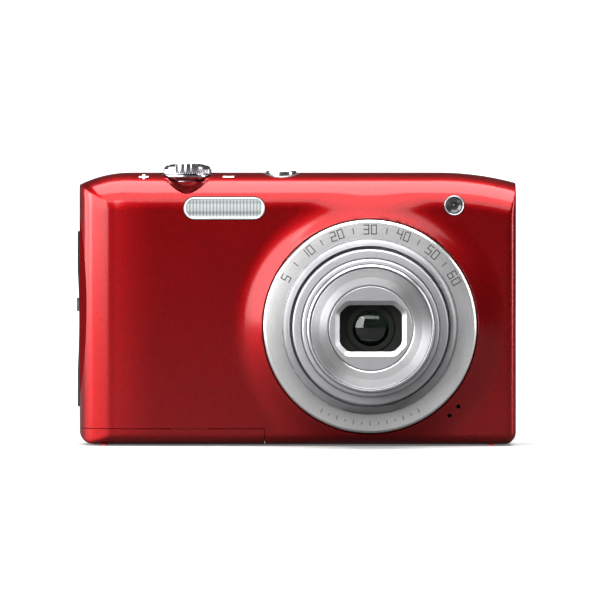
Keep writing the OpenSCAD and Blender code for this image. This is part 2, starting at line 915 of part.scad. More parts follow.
module front_group_holder() {
    rod_room_r = 1;
    rim = 1.2;
    color([0.04, 0.04, 0.04]) on_lens_axis() difference() {
        depth_cylinder(group_r, group_d0, group_d1);
        depth_cylinder(glass_r, group_d0 - over, group_d1 - rim);
        depth_cylinder(baffle_r, group_d0 - over, group_d1 + over);
        for (side = [-1, 1]) translate([side * rod_x, 0, 0])
            depth_cylinder(rod_room_r, group_d0 - over, group_d1 + over);
    }
}

// A glass element, flat behind and domed in front
module element(r, d0, rim_d, dome) {
    dome_r = (r * r + dome * dome) / (2 * dome);
    on_lens_axis() rotate([90, 0, 0]) rotate_extrude() intersection() {
        translate([0, d0]) square([r, rim_d + dome + over - d0]);
        translate([0, rim_d + dome - dome_r]) circle(dome_r, $fn = broad_sides);
    }
}

module front_lens() {
    rear_gap = 0.4;
    rim_gap = 2.1;
    dome = 0.7;
    color([0.3, 0.5, 0.35, 0.6]) element(glass_r - eps, group_d0 + rear_gap, group_d1 - rim_gap, dome);
}

module shutter_unit() {
    color([0.08, 0.08, 0.08]) on_lens_axis() difference() {
        depth_cylinder(shutter_unit_r, shutter_unit_d0, shutter_unit_d1);
        depth_cylinder(aperture_r, shutter_unit_d0 - over, shutter_unit_d1 + over);
        for (side = [-1, 1]) translate([side * rod_x, 0, 0])
            depth_cylinder(rod_r + eps, shutter_unit_d0 - over, shutter_unit_d1 + over);
    }
}

module second_lens() {
    rear_gap = 0.3;
    rim_gap = 1.3;
    dome = 0.6;
    color([0.4, 0.5, 0.6, 0.6])
        element(aperture_r - eps, shutter_unit_d0 + rear_gap, shutter_unit_d1 - rim_gap, dome);
}

module focus_holder() {
    color([0.08, 0.08, 0.08]) on_lens_axis() difference() {
        depth_cylinder(focus_r, focus_d0, focus_d1);
        depth_cylinder(glass_r, focus_d0 - over, focus_d1 + over);
        for (side = [-1, 1]) translate([side * rod_x, 0, 0])
            depth_cylinder(rod_r + eps, focus_d0 - over, focus_d1 + over);
    }
}

module focus_lens() {
    rear_gap = 0.2;
    rim_gap = 0.7;
    dome = 0.5;
    color([0.4, 0.5, 0.6, 0.6]) element(glass_r - eps, focus_d0 + rear_gap, focus_d1 - rim_gap, dome);
}

// ---- Top controls ----

module zoom_lever() {
    ring_z0 = 56.9;
    ring_z1 = 59.8;
    bore_r = 4.15;
    hub_r = lever_hole_r - eps;
    hub_bore_r = 3.3;
    hub_z = 54.3;
    tab_w = 4.9;
    tab_z0 = 58.2;
    tab_z1 = 60.3;
    tab_reach = 7.3;
    color("silver") at(shutter_x, shutter_d, 0) difference() {
        union() {
            translate([0, 0, ring_z0]) cylinder(r = lever_r, h = ring_z1 - ring_z0);
            translate([0, 0, hub_z]) cylinder(r = hub_r, h = ring_z1 - hub_z);
            intersection() {
                translate([-tab_w / 2, -tab_reach, tab_z0]) cube([tab_w, tab_reach, tab_z1 - tab_z0]);
                cylinder(r = tab_reach, h = body_h + 2 * over);
            }
        }
        translate([0, 0, ring_z0 + over]) cylinder(r = bore_r, h = body_h);
        translate([0, 0, hub_z - over]) cylinder(r = hub_bore_r, h = body_h);
    }
}

module shutter_button() {
    cap_r = 3.95;
    cap_z = 59;
    rim_z = 59.9;
    top_z = 60.4;
    stem_r = 3;
    stem_z = 54.2;
    dome = top_z - rim_z;
    dome_r = (cap_r * cap_r + dome * dome) / (2 * dome);
    color("silver") at(shutter_x, shutter_d, 0) {
        intersection() {
            translate([0, 0, cap_z]) cylinder(r = cap_r, h = top_z - cap_z + over);
            translate([0, 0, top_z - dome_r]) sphere(dome_r);
        }
        translate([0, 0, stem_z]) cylinder(r = stem_r, h = cap_z - stem_z + eps);
    }
}

module power_button() {
    top_z = 58.7;
    flange_z0 = 54.4;
    flange_z1 = 55.4;
    color("silver") at(power_x, shutter_d, 0) {
        translate([0, 0, flange_z0]) cylinder(r = power_r, h = top_z - flange_z0);
        translate([0, 0, flange_z0]) cylinder(r = power_r + key_flange, h = flange_z1 - flange_z0);
    }
}

// ---- Rear controls ----

// A round key whose flange stays behind the rear wall
module round_key(x, z) {
    at(x, 0, z) {
        depth_cylinder(key_r, -key_proud, key_cap_d);
        depth_cylinder(key_r + key_flange, key_flange_d, key_cap_d);
    }
}

module playback_button() color([0.1, 0.1, 0.1]) round_key(playback_x, playback_z);

module display_button() color([0.1, 0.1, 0.1]) round_key(display_x, low_key_z);

module menu_button() color([0.1, 0.1, 0.1]) round_key(menu_x, low_key_z);

module mode_switch() {
    base_w = 13.4;
    base_h = 4;
    color([0.1, 0.1, 0.1]) at(switch_x, 0, switch_z) {
        capsule(switch_w, switch_h, -key_proud, key_cap_d);
        translate([-base_w / 2, -key_cap_d, -base_h / 2]) cube([base_w, key_cap_d - key_flange_d, base_h]);
    }
}

module selector_plate() {
    plate_r = 8.5;
    bore_r = 3.2;
    plate_d0 = 2.1;
    plate_d1 = 2.6;
    color([0.2, 0.2, 0.2]) at(selector_x, 0, selector_z) depth_ring(plate_r, bore_r, plate_d0, plate_d1);
}

module selector_ring() {
    ring_rear_d = 1.6;
    edge = 0.4;
    color("silver") at(selector_x, 0, selector_z) depth_turned([
        [selector_in_r, -selector_proud + edge], [selector_in_r + edge, -selector_proud],
        [selector_r - edge, -selector_proud], [selector_r, -selector_proud + edge],
        [selector_r, ring_rear_d], [selector_in_r, ring_rear_d]
    ]);
}

module set_button() {
    cap_d = 1.3;
    stem_r = 2.5;
    stem_d = 3.4;
    color([0.1, 0.1, 0.1]) at(selector_x, 0, selector_z) {
        depth_cylinder(set_r, -key_proud, cap_d);
        depth_cylinder(stem_r, cap_d - eps, stem_d);
    }
}

// ---- Battery door ----

module battery_door() {
    lip_x = -45.6;
    knuckle_x = -40;
    color("firebrick") difference() {
        intersection() {
            rotate([90, 0, 0]) linear_extrude(height = body_d) difference() {
                front_outline(0);
                translate([left_x - over, door_top]) square([body_w + 2 * over, body_h]);
                translate([door_x1 - seam, -over]) square([body_w, body_h]);
            }
            translate([left_x, 0, 0]) rotate([90, 0, 90]) linear_extrude(height = body_w) intersection() {
                side_outline(0, body_d);
                union() {
                    translate([-body_d, 0]) square([body_d - door_axis_d, door_top]);
                    translate([-door_axis_d, door_axis_z]) circle(door_axis_z);
                }
            }
            linear_extrude(height = body_h) plan_outline(0, body_d);
        }
        intersection() {
            body_form(inset = wall + eps);
            box(lip_x, 0, door_axis_d + over, body_d, 0, body_h);
        }
        box(lip_x, knuckle_x, 0, door_slot_d, -over, body_h);
        box(door_arm_right_x - 2 * seam, 0, 0, door_slot_d, -over, body_h);
        at(left_x - over, door_axis_d, door_axis_z)
            rotate([0, 90, 0]) cylinder(r = door_pin_r + eps, h = body_w / 2);
    }
}

module door_frame() {
    leaf_z0 = wall + seam;
    leaf_z1 = leaf_z0 + 0.7;
    leaf_d0 = 3.1;
    leaf_d1 = 14.2;
    color("silver") {
        box(door_arm_left_x, door_arm_right_x + door_arm_w, leaf_d0, leaf_d1, leaf_z0, leaf_z1);
        for (x = [door_arm_left_x, door_arm_right_x])
            box(x, x + door_arm_w, door_axis_d, leaf_d0 + eps, door_axis_z - door_pin_r, leaf_z1);
        at(pin_x0, door_axis_d, door_axis_z) rotate([0, 90, 0]) cylinder(r = door_pin_r, h = pin_x1 - pin_x0);
    }
}

module door_foot() color("firebrick") foot_at(-foot_x);

// ---- Connector cover ----

module connector_cover() {
    flap_x = left_x - 0.3;
    color([0.07, 0.07, 0.07]) {
        box(flap_x, flap_x + flap_t, flap_d0 + flap_pin_r, flap_d1, flap_z0, flap_z1);
        at(flap_x + flap_t / 2, flap_d0 + flap_pin_r, flap_z0)
            cylinder(r = flap_pin_r, h = flap_z1 - flap_z0);
    }
}

module case_screws() color("silver") each_screw() screw_form(screw_head_r, screw_shank_r, 0);

place() front_cover();
place() rear_cover();
place() top_plate();
place() lens_ring();
place() side_panel();
place() strap_bar();
place() usb_connector();
place() base_foot();
place() tripod_socket();
place() flash_window();
place() flash_reflector();
place() flash_tube();
place() flash_capacitor();
place() lamp_bezel();
place() lamp_lens();
place() microphone();
place() lcd_window();
place() lcd_panel();
place() chassis();
place() main_board();
place() battery();
place() battery_case();
place() memory_card();
place() card_socket();
place() fixed_barrel();
place() guide_rods();
place() image_sensor();
place() sensor_board();
place() zoom_motor();
place() focus_motor();
place() case_screws();
place() shutter_button();
place() zoom_lever();
place() power_button();
place() drive_ring();
place() outer_barrel();
place() middle_barrel();
place() inner_barrel();
place() front_ring();
place() barrier_frame();
place() upper_blade();
place() lower_blade();
place() front_group_holder();
place() front_lens();
place() shutter_unit();
place() second_lens();
place() focus_holder();
place() focus_lens();
place() battery_door();
place() door_frame();
place() door_foot();
place() connector_cover();
place() battery_latch();
place() playback_button();
place() display_button();
place() menu_button();
place() mode_switch();
place() selector_plate();
place() selector_ring();
place() set_button();
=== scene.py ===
import math

import bmesh
import bpy
import numpy as np
from mathutils import Matrix, Vector


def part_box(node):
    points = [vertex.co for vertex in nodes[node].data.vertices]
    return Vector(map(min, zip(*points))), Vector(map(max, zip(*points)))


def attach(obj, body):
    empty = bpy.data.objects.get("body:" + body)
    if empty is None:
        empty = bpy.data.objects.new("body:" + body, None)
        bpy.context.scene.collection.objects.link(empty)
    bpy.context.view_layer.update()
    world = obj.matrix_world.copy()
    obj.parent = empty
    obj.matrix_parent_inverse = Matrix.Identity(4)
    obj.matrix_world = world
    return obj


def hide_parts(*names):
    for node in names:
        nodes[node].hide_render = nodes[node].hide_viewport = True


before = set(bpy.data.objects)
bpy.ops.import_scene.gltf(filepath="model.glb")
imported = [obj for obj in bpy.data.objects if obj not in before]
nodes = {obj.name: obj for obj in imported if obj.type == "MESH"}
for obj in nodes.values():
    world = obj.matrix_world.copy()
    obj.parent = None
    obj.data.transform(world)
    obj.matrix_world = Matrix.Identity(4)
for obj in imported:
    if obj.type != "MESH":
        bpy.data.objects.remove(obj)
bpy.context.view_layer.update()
MM = 0.001

# ---- Places, read from the frame -------------------------------------------------------
# Shell coordinates: x from the middle of the body, depth d forward from the rear face, z up, in mm.
shell_lo, shell_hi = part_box("front_cover")
rear_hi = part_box("rear_cover")[1]
mid_x = (shell_lo.x + shell_hi.x) / 2
rear_y = rear_hi.y
base_z = shell_lo.z


def place(x, d, z):
    return Vector((mid_x + x * MM, rear_y - d * MM, base_z + z * MM))


def shell_of(node):
    """Lowest and highest x, d, z of a CAD node, in shell coordinates."""
    lo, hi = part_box(node)
    return (
        ((lo.x - mid_x) / MM, (rear_y - hi.y) / MM, (lo.z - base_z) / MM),
        ((hi.x - mid_x) / MM, (rear_y - lo.y) / MM, (hi.z - base_z) / MM),
    )


def middle(node):
    lo, hi = shell_of(node)
    return tuple((a + b) / 2 for a, b in zip(lo, hi))


BODY_W = (shell_hi.x - shell_lo.x) / MM
BODY_H = (shell_hi.z - shell_lo.z) / MM
LEFT, RIGHT = -BODY_W / 2, BODY_W / 2
FLARE_D = shell_of("front_cover")[1][1]
FRONT_D = FLARE_D - 1.3
SPLIT_D = shell_of("front_cover")[0][1]
WALL = 1.1
LENS = middle("lens_ring")
RING_R = (shell_of("lens_ring")[1][0] - shell_of("lens_ring")[0][0]) / 2
SHUTTER = middle("shutter_button")
POWER = middle("power_button")
FLASH = middle("flash_window")
LAMP = middle("lamp_bezel")
SELECTOR = middle("selector_ring")


def axis_forward(x, z):
    """Local z of a piece runs forward out of the camera, and starts at the rear face."""
    return Matrix.Translation(place(x, 0, z)) @ Matrix.Rotation(math.pi / 2, 4, "X")


def axis_up(x, d):
    """Local z of a piece runs up, and starts at the base."""
    return Matrix.Translation(place(x, d, 0))


LENS_AXIS = axis_forward(LENS[0], LENS[2])

# ---- Node helpers ----------------------------------------------------------------------


class Graph:
    """A material's node tree, with short ways to add and join nodes."""

    def __init__(self, name):
        self.mat = bpy.data.materials.new(name)
        self.mat.use_nodes = True
        self.tree = self.mat.node_tree
        self.shader = self.tree.nodes["Principled BSDF"]

    def add(self, kind, **values):
        node = self.tree.nodes.new(kind)
        for key, value in values.items():
            setattr(node, key, value)
        return node

    def set(self, node, **values):
        for key, value in values.items():
            node.inputs[key.replace("_", " ")].default_value = value
        return node

    def join(self, out, socket):
        self.tree.links.new(out, socket)

    def coords(self):
        return self.add("ShaderNodeTexCoord").outputs["Object"]

    def math(self, operation, a, b=None):
        node = self.add("ShaderNodeMath", operation=operation)
        for i, v in enumerate((a, b)):
            if v is None:
                continue
            if isinstance(v, (int, float)):
                node.inputs[i].default_value = v
            else:
                self.join(v, node.inputs[i])
        return node.outputs[0]

    def noise(self, vector, scale, detail=3.0, rough=0.5, dims="3D"):
        node = self.add("ShaderNodeTexNoise", noise_dimensions=dims)
        node.inputs["Scale"].default_value = scale
        node.inputs["Detail"].default_value = detail
        node.inputs["Roughness"].default_value = rough
        self.join(vector, node.inputs["W" if dims == "1D" else "Vector"])
        return node.outputs["Fac"]

    def ramp(self, value, low, high, to_low, to_high):
        node = self.add("ShaderNodeMapRange", clamp=True)
        self.join(value, node.inputs["Value"])
        for key, v in (("From Min", low), ("From Max", high), ("To Min", to_low), ("To Max", to_high)):
            node.inputs[key].default_value = v
        return node.outputs["Result"]

    def blend(self, factor, a, b):
        node = self.add("ShaderNodeMix", data_type="RGBA")
        self.join(factor, node.inputs["Factor"])
        for key, v in (("A", a), ("B", b)):
            socket = [s for s in node.inputs if s.name == key and s.type == "RGBA"][0]
            if isinstance(v, (tuple, list)):
                socket.default_value = (*v, 1)
            else:
                self.join(v, socket)
        return [s for s in node.outputs if s.type == "RGBA"][0]

    def bump(self, height, strength, distance, normal=None):
        node = self.add("ShaderNodeBump")
        node.inputs["Strength"].default_value = strength
        node.inputs["Distance"].default_value = distance
        self.join(height, node.inputs["Height"])
        if normal is not None:
            self.join(normal, node.inputs["Normal"])
        return node.outputs["Normal"]

    def radius(self):
        """Distance from the piece's own z axis, in mm."""
        split = self.add("ShaderNodeSeparateXYZ")
        self.join(self.coords(), split.inputs[0])
        x, y = split.outputs[0], split.outputs[1]
        squares = self.math("ADD", self.math("MULTIPLY", x, x), self.math("MULTIPLY", y, y))
        return self.math("MULTIPLY", self.math("SQRT", squares), 1 / MM)


def tinted(color, gain):
    return tuple(min(1.0, c * gain) for c in color)


def moulded(name, color, rough=0.45, metallic=0.0, grain=9000, bump=0.15, coat=0.0, spread=0.12, specular=0.5):
    """Moulded or cast surface: fine grain and soft colour drift."""
    g = Graph(name)
    at = g.coords()
    fine = g.noise(at, grain, 2.0, 0.6)
    broad = g.noise(at, 90, 4.0, 0.55)
    drift = g.ramp(broad, 0.3, 0.7, 0.0, 1.0)
    g.join(g.blend(drift, tinted(color, 1 - spread), tinted(color, 1 + spread)), g.shader.inputs["Base Color"])
    g.join(g.ramp(g.math("ADD", fine, broad), 0.7, 1.3, rough * 0.85, min(1.0, rough * 1.18)),
           g.shader.inputs["Roughness"])
    g.set(g.shader, Metallic=metallic, Coat_Weight=coat, Coat_Roughness=0.08, Specular_IOR_Level=specular)
    g.join(g.bump(fine, bump, 0.00004), g.shader.inputs["Normal"])
    return g.mat


def lacquer(name, color, deep):
    """Metallic lacquer: flakes in the colour coat, slight orange peel in the clear coat."""
    g = Graph(name)
    at = g.coords()
    flakes = g.add("ShaderNodeTexVoronoi", feature="F1")
    flakes.inputs["Scale"].default_value = 5200
    g.join(at, flakes.inputs["Vector"])
    fleck = g.ramp(flakes.outputs["Distance"], 0.15, 0.75, 1.0, 0.0)
    fine = g.noise(at, 3600, 3.0, 0.7)
    peel = g.noise(at, 520, 2.0, 0.5)
    wear = g.noise(at, 70, 5.0, 0.6)
    mixed = g.math("MULTIPLY", fleck, fine)
    g.join(g.blend(g.ramp(mixed, 0.1, 0.6, 0.0, 1.0), deep, color), g.shader.inputs["Base Color"])
    g.join(g.ramp(g.math("ADD", wear, fine), 0.6, 1.4, 0.35, 0.42), g.shader.inputs["Roughness"])
    g.set(g.shader, Metallic=1.0, Coat_Weight=0.5, Coat_Roughness=0.13)
    base = g.bump(fine, 0.16, 0.00003)
    g.join(g.bump(peel, 0.05, 0.00003, base), g.shader.inputs["Normal"])
    return g.mat


def brushed(name, color, rough=0.3, aniso=0.6, line=26.0, depth=0.1, turn=0.25, spread=0.1):
    """Circular brushing about the piece's own z axis, with fine lines that vary in strength."""
    g = Graph(name)
    radius = g.radius()
    lines = g.noise(radius, line, 4.0, 0.75, "1D")
    broad = g.noise(g.coords(), 160, 3.0, 0.5)
    shade = g.ramp(g.math("ADD", g.math("MULTIPLY", lines, 1.4), broad), 0.8, 1.6, 0.0, 1.0)
    g.join(g.blend(shade, tinted(color, 1 - spread), tinted(color, 1 + spread)), g.shader.inputs["Base Color"])
    g.join(g.ramp(lines, 0.3, 0.7, rough * 0.8, rough * 1.25), g.shader.inputs["Roughness"])
    tangent = g.add("ShaderNodeTangent", direction_type="RADIAL", axis="Z")
    g.join(tangent.outputs[0], g.shader.inputs["Tangent"])
    g.set(g.shader, Metallic=1.0, Anisotropic=aniso, Anisotropic_Rotation=turn)
    g.join(g.bump(lines, depth, 0.00004), g.shader.inputs["Normal"])
    return g.mat


def satin(name, color, rough=0.35, metallic=1.0, grain=2600, bump=0.12, spread=0.08):
    """Bead-blasted and anodised metal: tiny pits and a soft cloudiness."""
    g = Graph(name)
    at = g.coords()
    pits = g.noise(at, grain, 3.0, 0.75)
    broad = g.noise(at, 120, 3.0, 0.5)
    shade = g.ramp(g.math("ADD", pits, broad), 0.7, 1.3, 0.0, 1.0)
    g.join(g.blend(shade, tinted(color, 1 - spread), tinted(color, 1 + spread)), g.shader.inputs["Base Color"])
    g.join(g.ramp(pits, 0.3, 0.7, rough * 0.85, rough * 1.2), g.shader.inputs["Roughness"])
    g.set(g.shader, Metallic=metallic)
    g.join(g.bump(pits, bump, 0.00005), g.shader.inputs["Normal"])
    return g.mat


def glassy(name, tint, rough=0.03, film=0.0, ior=1.5, transmission=1.0):
    """Glass or clear moulding, with faint dust and polishing haze in its roughness."""
    g = Graph(name)
    haze = g.noise(g.coords(), 900, 4.0, 0.6)
    g.join(g.ramp(haze, 0.35, 0.75, rough * 0.6, rough * 1.6), g.shader.inputs["Roughness"])
    g.join(g.blend(haze, tinted(tint, 0.97), tint), g.shader.inputs["Base Color"])
    g.set(g.shader, IOR=ior, Transmission_Weight=transmission)
    if film:
        g.set(g.shader, Thin_Film_Thickness=film, Thin_Film_IOR=1.9)
    g.join(g.bump(haze, 0.02, 0.00002), g.shader.inputs["Normal"])
    return g.mat


def ribbed(name):
    """Clear flash cover: upright ribs with level bands between them, over a hazy clear moulding. The ribs and bands are
    painted into its colour as dark lines of shade, with a bump to match.
    """
    g = Graph(name)
    at = g.add("ShaderNodeSeparateXYZ")
    g.join(g.coords(), at.inputs[0])
    haze = g.noise(g.coords(), 1500, 4.0, 0.6)
    ribs = g.math("SINE", g.math("MULTIPLY", at.outputs[0], 2 * math.pi / 0.00072))
    bands = g.math("SINE", g.math("ADD", g.math("MULTIPLY", at.outputs[1], 2 * math.pi / 0.00225), 1.2))
    # Dark lines along the ribs and bands: painted shade, not a colour of the moulding.
    cut = g.math("MULTIPLY", g.ramp(ribs, -0.9, 0.1, 0.45, 1.0), g.ramp(bands, -0.95, -0.2, 0.55, 1.0))
    painted_rib_shading = g.math("MULTIPLY", cut, g.ramp(haze, 0.2, 0.8, 0.9, 1.0))
    g.join(g.blend(painted_rib_shading, (0.05, 0.06, 0.06), (0.36, 0.39, 0.385)), g.shader.inputs["Base Color"])
    g.join(g.ramp(haze, 0.3, 0.75, 0.12, 0.24), g.shader.inputs["Roughness"])
    g.set(g.shader, IOR=1.49, Transmission_Weight=0.35)
    g.join(g.bump(cut, 0.3, 0.00008), g.shader.inputs["Normal"])
    return g.mat


def gloss(name, color, rough=0.12, coat=0.6):
    """Polished moulding: faint swirl marks in a deep, dark surface."""
    g = Graph(name)
    at = g.coords()
    swirl = g.noise(at, 1400, 4.0, 0.65)
    broad = g.noise(at, 110, 3.0, 0.5)
    g.join(g.blend(g.ramp(broad, 0.3, 0.7, 0.0, 1.0), color, tinted(color, 1.6)), g.shader.inputs["Base Color"])
    g.join(g.ramp(swirl, 0.3, 0.75, rough * 0.7, rough * 1.6), g.shader.inputs["Roughness"])
    g.set(g.shader, Coat_Weight=coat, Coat_Roughness=0.04)
    g.join(g.bump(swirl, 0.03, 0.00002), g.shader.inputs["Normal"])
    return g.mat


M = {
    "red": lacquer("red_lacquer", (0.30, 0.003, 0.005), (0.17, 0.001, 0.002)),
    "ring": brushed("ring_brushed", (0.80, 0.80, 0.80), 0.30, 0.55, 18.0, 0.08),
    "bevel": brushed("bevel_polished", (0.86, 0.86, 0.87), 0.15, 0.2, 30.0, 0.05),
    "barrel": satin("barrel_anodised", (0.29, 0.29, 0.30), 0.5, 0.85),
    "barrel_dark": satin("barrel_anodised_dark", (0.36, 0.36, 0.37), 0.34),
    "face": brushed("face_brushed", (0.48, 0.48, 0.49), 0.34, 0.85, 22.0, 0.1),
    "disc": satin("disc_satin", (0.34, 0.34, 0.35), 0.42),
    "chrome": brushed("chrome_spun", (0.42, 0.42, 0.44), 0.2, 0.3, 30.0, 0.05),
    "trim": satin("trim_satin", (0.55, 0.55, 0.57), 0.3),
    "steel": satin("steel_sheet", (0.6, 0.61, 0.62), 0.32, grain=1500),
    "black": gloss("black_polished", (0.012, 0.012, 0.013)),
    "matte": moulded("black_moulded", (0.022, 0.022, 0.024), 0.55),
    "baffle": moulded("baffle_black", (0.003, 0.004, 0.0025), 0.75, specular=0.2),
    "foot": moulded("foot_red", (0.24, 0.01, 0.015), 0.5),
    "pale": moulded("flash_rim_pale", (0.34, 0.36, 0.36), 0.35),
    "clear": ribbed("flash_clear"),
    "lens": glassy("lens_coated", (0.3, 0.5, 0.34), 0.02, 0.0, 1.5),
    "screen": gloss("screen_glass", (0.008, 0.008, 0.010), 0.05, 1.0),
    "board": moulded("board_green", (0.015, 0.11, 0.04), 0.4, spread=0.25),
    "sensor": gloss("sensor_cover", (0.010, 0.014, 0.020), 0.06, 1.0),
    "foil": satin("reflector_foil", (0.93, 0.93, 0.92), 0.16, grain=1800),
    "sleeve": moulded("battery_sleeve", (0.07, 0.07, 0.075), 0.42),
    "card": moulded("card_shell", (0.02, 0.035, 0.11), 0.4),
    "ink": moulded("ink_dark", (0.03, 0.03, 0.03), 0.5),
    "white": moulded("ink_white", (0.85, 0.85, 0.85), 0.45),
    "amber": moulded("latch_amber", (0.55, 0.2, 0.02), 0.4),
}

# ---- Mesh helpers ----------------------------------------------------------------------


def make(name, verts, faces, matrix=None, material=None, sharp=35.0):
    """A closed mesh piece with smooth faces and sharp edges where the surface turns."""
    mesh = bpy.data.meshes.new(name)
    mesh.from_pydata([tuple(v) for v in verts], [], [tuple(f) for f in faces])
    return finish_mesh(name, mesh, matrix, material, sharp)


def finish_mesh(name, mesh, matrix=None, material=None, sharp=35.0):
    bm = bmesh.new()
    bm.from_mesh(mesh)
    bmesh.ops.recalc_face_normals(bm, faces=bm.faces)
    bm.to_mesh(mesh)
    bm.free()
    mesh.shade_smooth()
    mesh.set_sharp_from_angle(angle=math.radians(sharp))
    obj = bpy.data.objects.new(name, mesh)
    bpy.context.scene.collection.objects.link(obj)
    if matrix is not None:
        obj.matrix_world = matrix
    if material is not None:
        mesh.materials.append(material)
    return obj


def softened(points, radius, steps=4, closed=True):
    """The outline with its corners rounded; points are (r, h) in mm."""
    out = []
    count = len(points)
    for i, p in enumerate(points):
        if not closed and i in (0, count - 1):
            out.append(p)
            continue
        p = Vector(p[:2])
        a = Vector(points[i - 1][:2]) - p
        b = Vector(points[(i + 1) % count][:2]) - p
        reach = min(radius, a.length * 0.45, b.length * 0.45)
        if reach < 1e-4:
            out.append(tuple(p))
            continue
        start, end = p + a.normalized() * reach, p + b.normalized() * reach
        for s in range(steps + 1):
            t = s / steps
            out.append(tuple(start * (1 - t) ** 2 + p * 2 * t * (1 - t) + end * t ** 2))
    return out


def turned_mesh(points, segments, closed=True, grips=None):
    """Points (r, h) in mm turned about z; a point on the axis becomes a pole."""
    verts, rings = [], []
    for r, h in points:
        if r < 1e-6:
            rings.append([len(verts)] * segments)
            verts.append((0, 0, h * MM))
            continue
        ring = []
        for s in range(segments):
            a = 2 * math.pi * s / segments
            rr = r + (grips(a, r, h) if grips else 0)
            ring.append(len(verts))
            verts.append((rr * MM * math.cos(a), rr * MM * math.sin(a), h * MM))
        rings.append(ring)
    faces = []
    pairs = list(zip(rings, rings[1:])) + ([(rings[-1], rings[0])] if closed else [])
    for lower, upper in pairs:
        for s in range(segments):
            n = (s + 1) % segments
            face = []
            for v in (lower[s], lower[n], upper[n], upper[s]):
                if v not in face:
                    face.append(v)
            if len(face) > 2:
                faces.append(face)
    return verts, faces


def turned(name, points, matrix, material, segments=192, closed=True, soft=0.12, sharp=35.0, grips=None):
    pts = softened(points, soft, 4, closed) if soft else points
    verts, faces = turned_mesh(pts, segments, closed, grips)
    return make(name, verts, faces, matrix, material, sharp)


def cutter_box(x0, x1, d0, d1, z0, z1):
    corners = [place(x, d, z) for x in (x0, x1) for d in (d0, d1) for z in (z0, z1)]
    faces = [(0, 1, 3, 2), (4, 6, 7, 5), (0, 4, 5, 1), (2, 3, 7, 6), (0, 2, 6, 4), (1, 5, 7, 3)]
    return make("cutter", corners, faces)


def cutter_turned(points, matrix, segments=160):
    verts, faces = turned_mesh(points, segments, False)
    return make("cutter", verts, faces, matrix)


def cutter_rod(r, h0, h1, matrix, segments=128):
    return cutter_turned([(0, h0), (r, h0), (r, h1), (0, h1)], matrix, segments)


def prism(outline, h0, h1, matrix, name="cutter", material=None, sharp=35.0):
    """A closed outline of (x, y) in mm, drawn along local z."""
    n = len(outline)
    verts = [(x * MM, y * MM, h * MM) for h in (h0, h1) for x, y in outline]
    faces = [list(range(n))[::-1], list(range(n, 2 * n))]
    faces += [(i, (i + 1) % n, n + (i + 1) % n, n + i) for i in range(n)]
    return make(name, verts, faces, matrix, material, sharp)


def capsule_outline(w, h, steps=24):
    reach, r = (w - h) / 2, h / 2
    out = []
    for side, first in ((1, -90), (-1, 90)):
        for s in range(steps + 1):
            a = math.radians(first + 180 * s / steps)
            out.append((side * reach + r * math.cos(a), r * math.sin(a)))
    return out


def carve(obj, cutters, operation="DIFFERENCE"):
    """Applies exact booleans one after another and drops the cutters."""
    for c in cutters:
        mod = obj.modifiers.new("cut", "BOOLEAN")
        mod.solver = "EXACT"
        mod.operation = operation
        mod.object = c
    bpy.context.view_layer.update()
    result = bpy.data.meshes.new_from_object(obj.evaluated_get(bpy.context.evaluated_depsgraph_get()))
    obj.modifiers.clear()
    obj.data = result
    for c in cutters:
        bpy.data.objects.remove(c)
    result.shade_smooth()
    result.set_sharp_from_angle(angle=math.radians(32))
    return obj


def seat(obj, body, slot, *replaced):
    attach(obj, body)
    if replaced:
        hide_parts(*replaced)
    return obj


# ---- The red shell ---------------------------------------------------------------------
TOP_ROUND, GRIP_ROUND, BASE_ROUND, SIDE_ROUND = 8.0, 7.6, 2.2, 2.0
ARC_LEFT, ARC_LEFT_X, ARC_RIGHT, ARC_RIGHT_X = 24.0, -36.0, 62.0, 30.5
CORNER_LEFT, CORNER_RIGHT = 3.0, 2.5
FLARE_R, SEAT_R = 29.5, RING_R + 0.2
GRIP_BOW_X, GRIP_BOW = -30.0, 0.0065
REAR_TOP, REAR_BASE, REAR_SIDE = 2.0, 0.8, 2.0


def arc_drop(away, r):
    """How far a rounding of radius r has fallen, at a distance in from the edge."""
    away = np.clip(away, 0, r)
    return r - np.sqrt(np.maximum(r * r - (r - away) ** 2, 0))


def top_edge(x, inset):
    z = np.full_like(x, BODY_H)
    left = x < ARC_LEFT_X
    z[left] = BODY_H - ARC_LEFT + np.sqrt(ARC_LEFT ** 2 - (x[left] - ARC_LEFT_X) ** 2)
    right = x > ARC_RIGHT_X
    z[right] = BODY_H - ARC_RIGHT + np.sqrt(ARC_RIGHT ** 2 - (x[right] - ARC_RIGHT_X) ** 2)
    return z - inset


def base_edge(x, inset):
    return inset + arc_drop(x - LEFT - inset, CORNER_LEFT) + arc_drop(RIGHT - inset - x, CORNER_RIGHT)


def edge_steps(r, count, start, sign):
    """Places that follow a rounding by angle, so its facets turn evenly."""
    a = np.linspace(0, math.pi / 2, count + 1)
    return start + sign * r * (1 - np.cos(a))


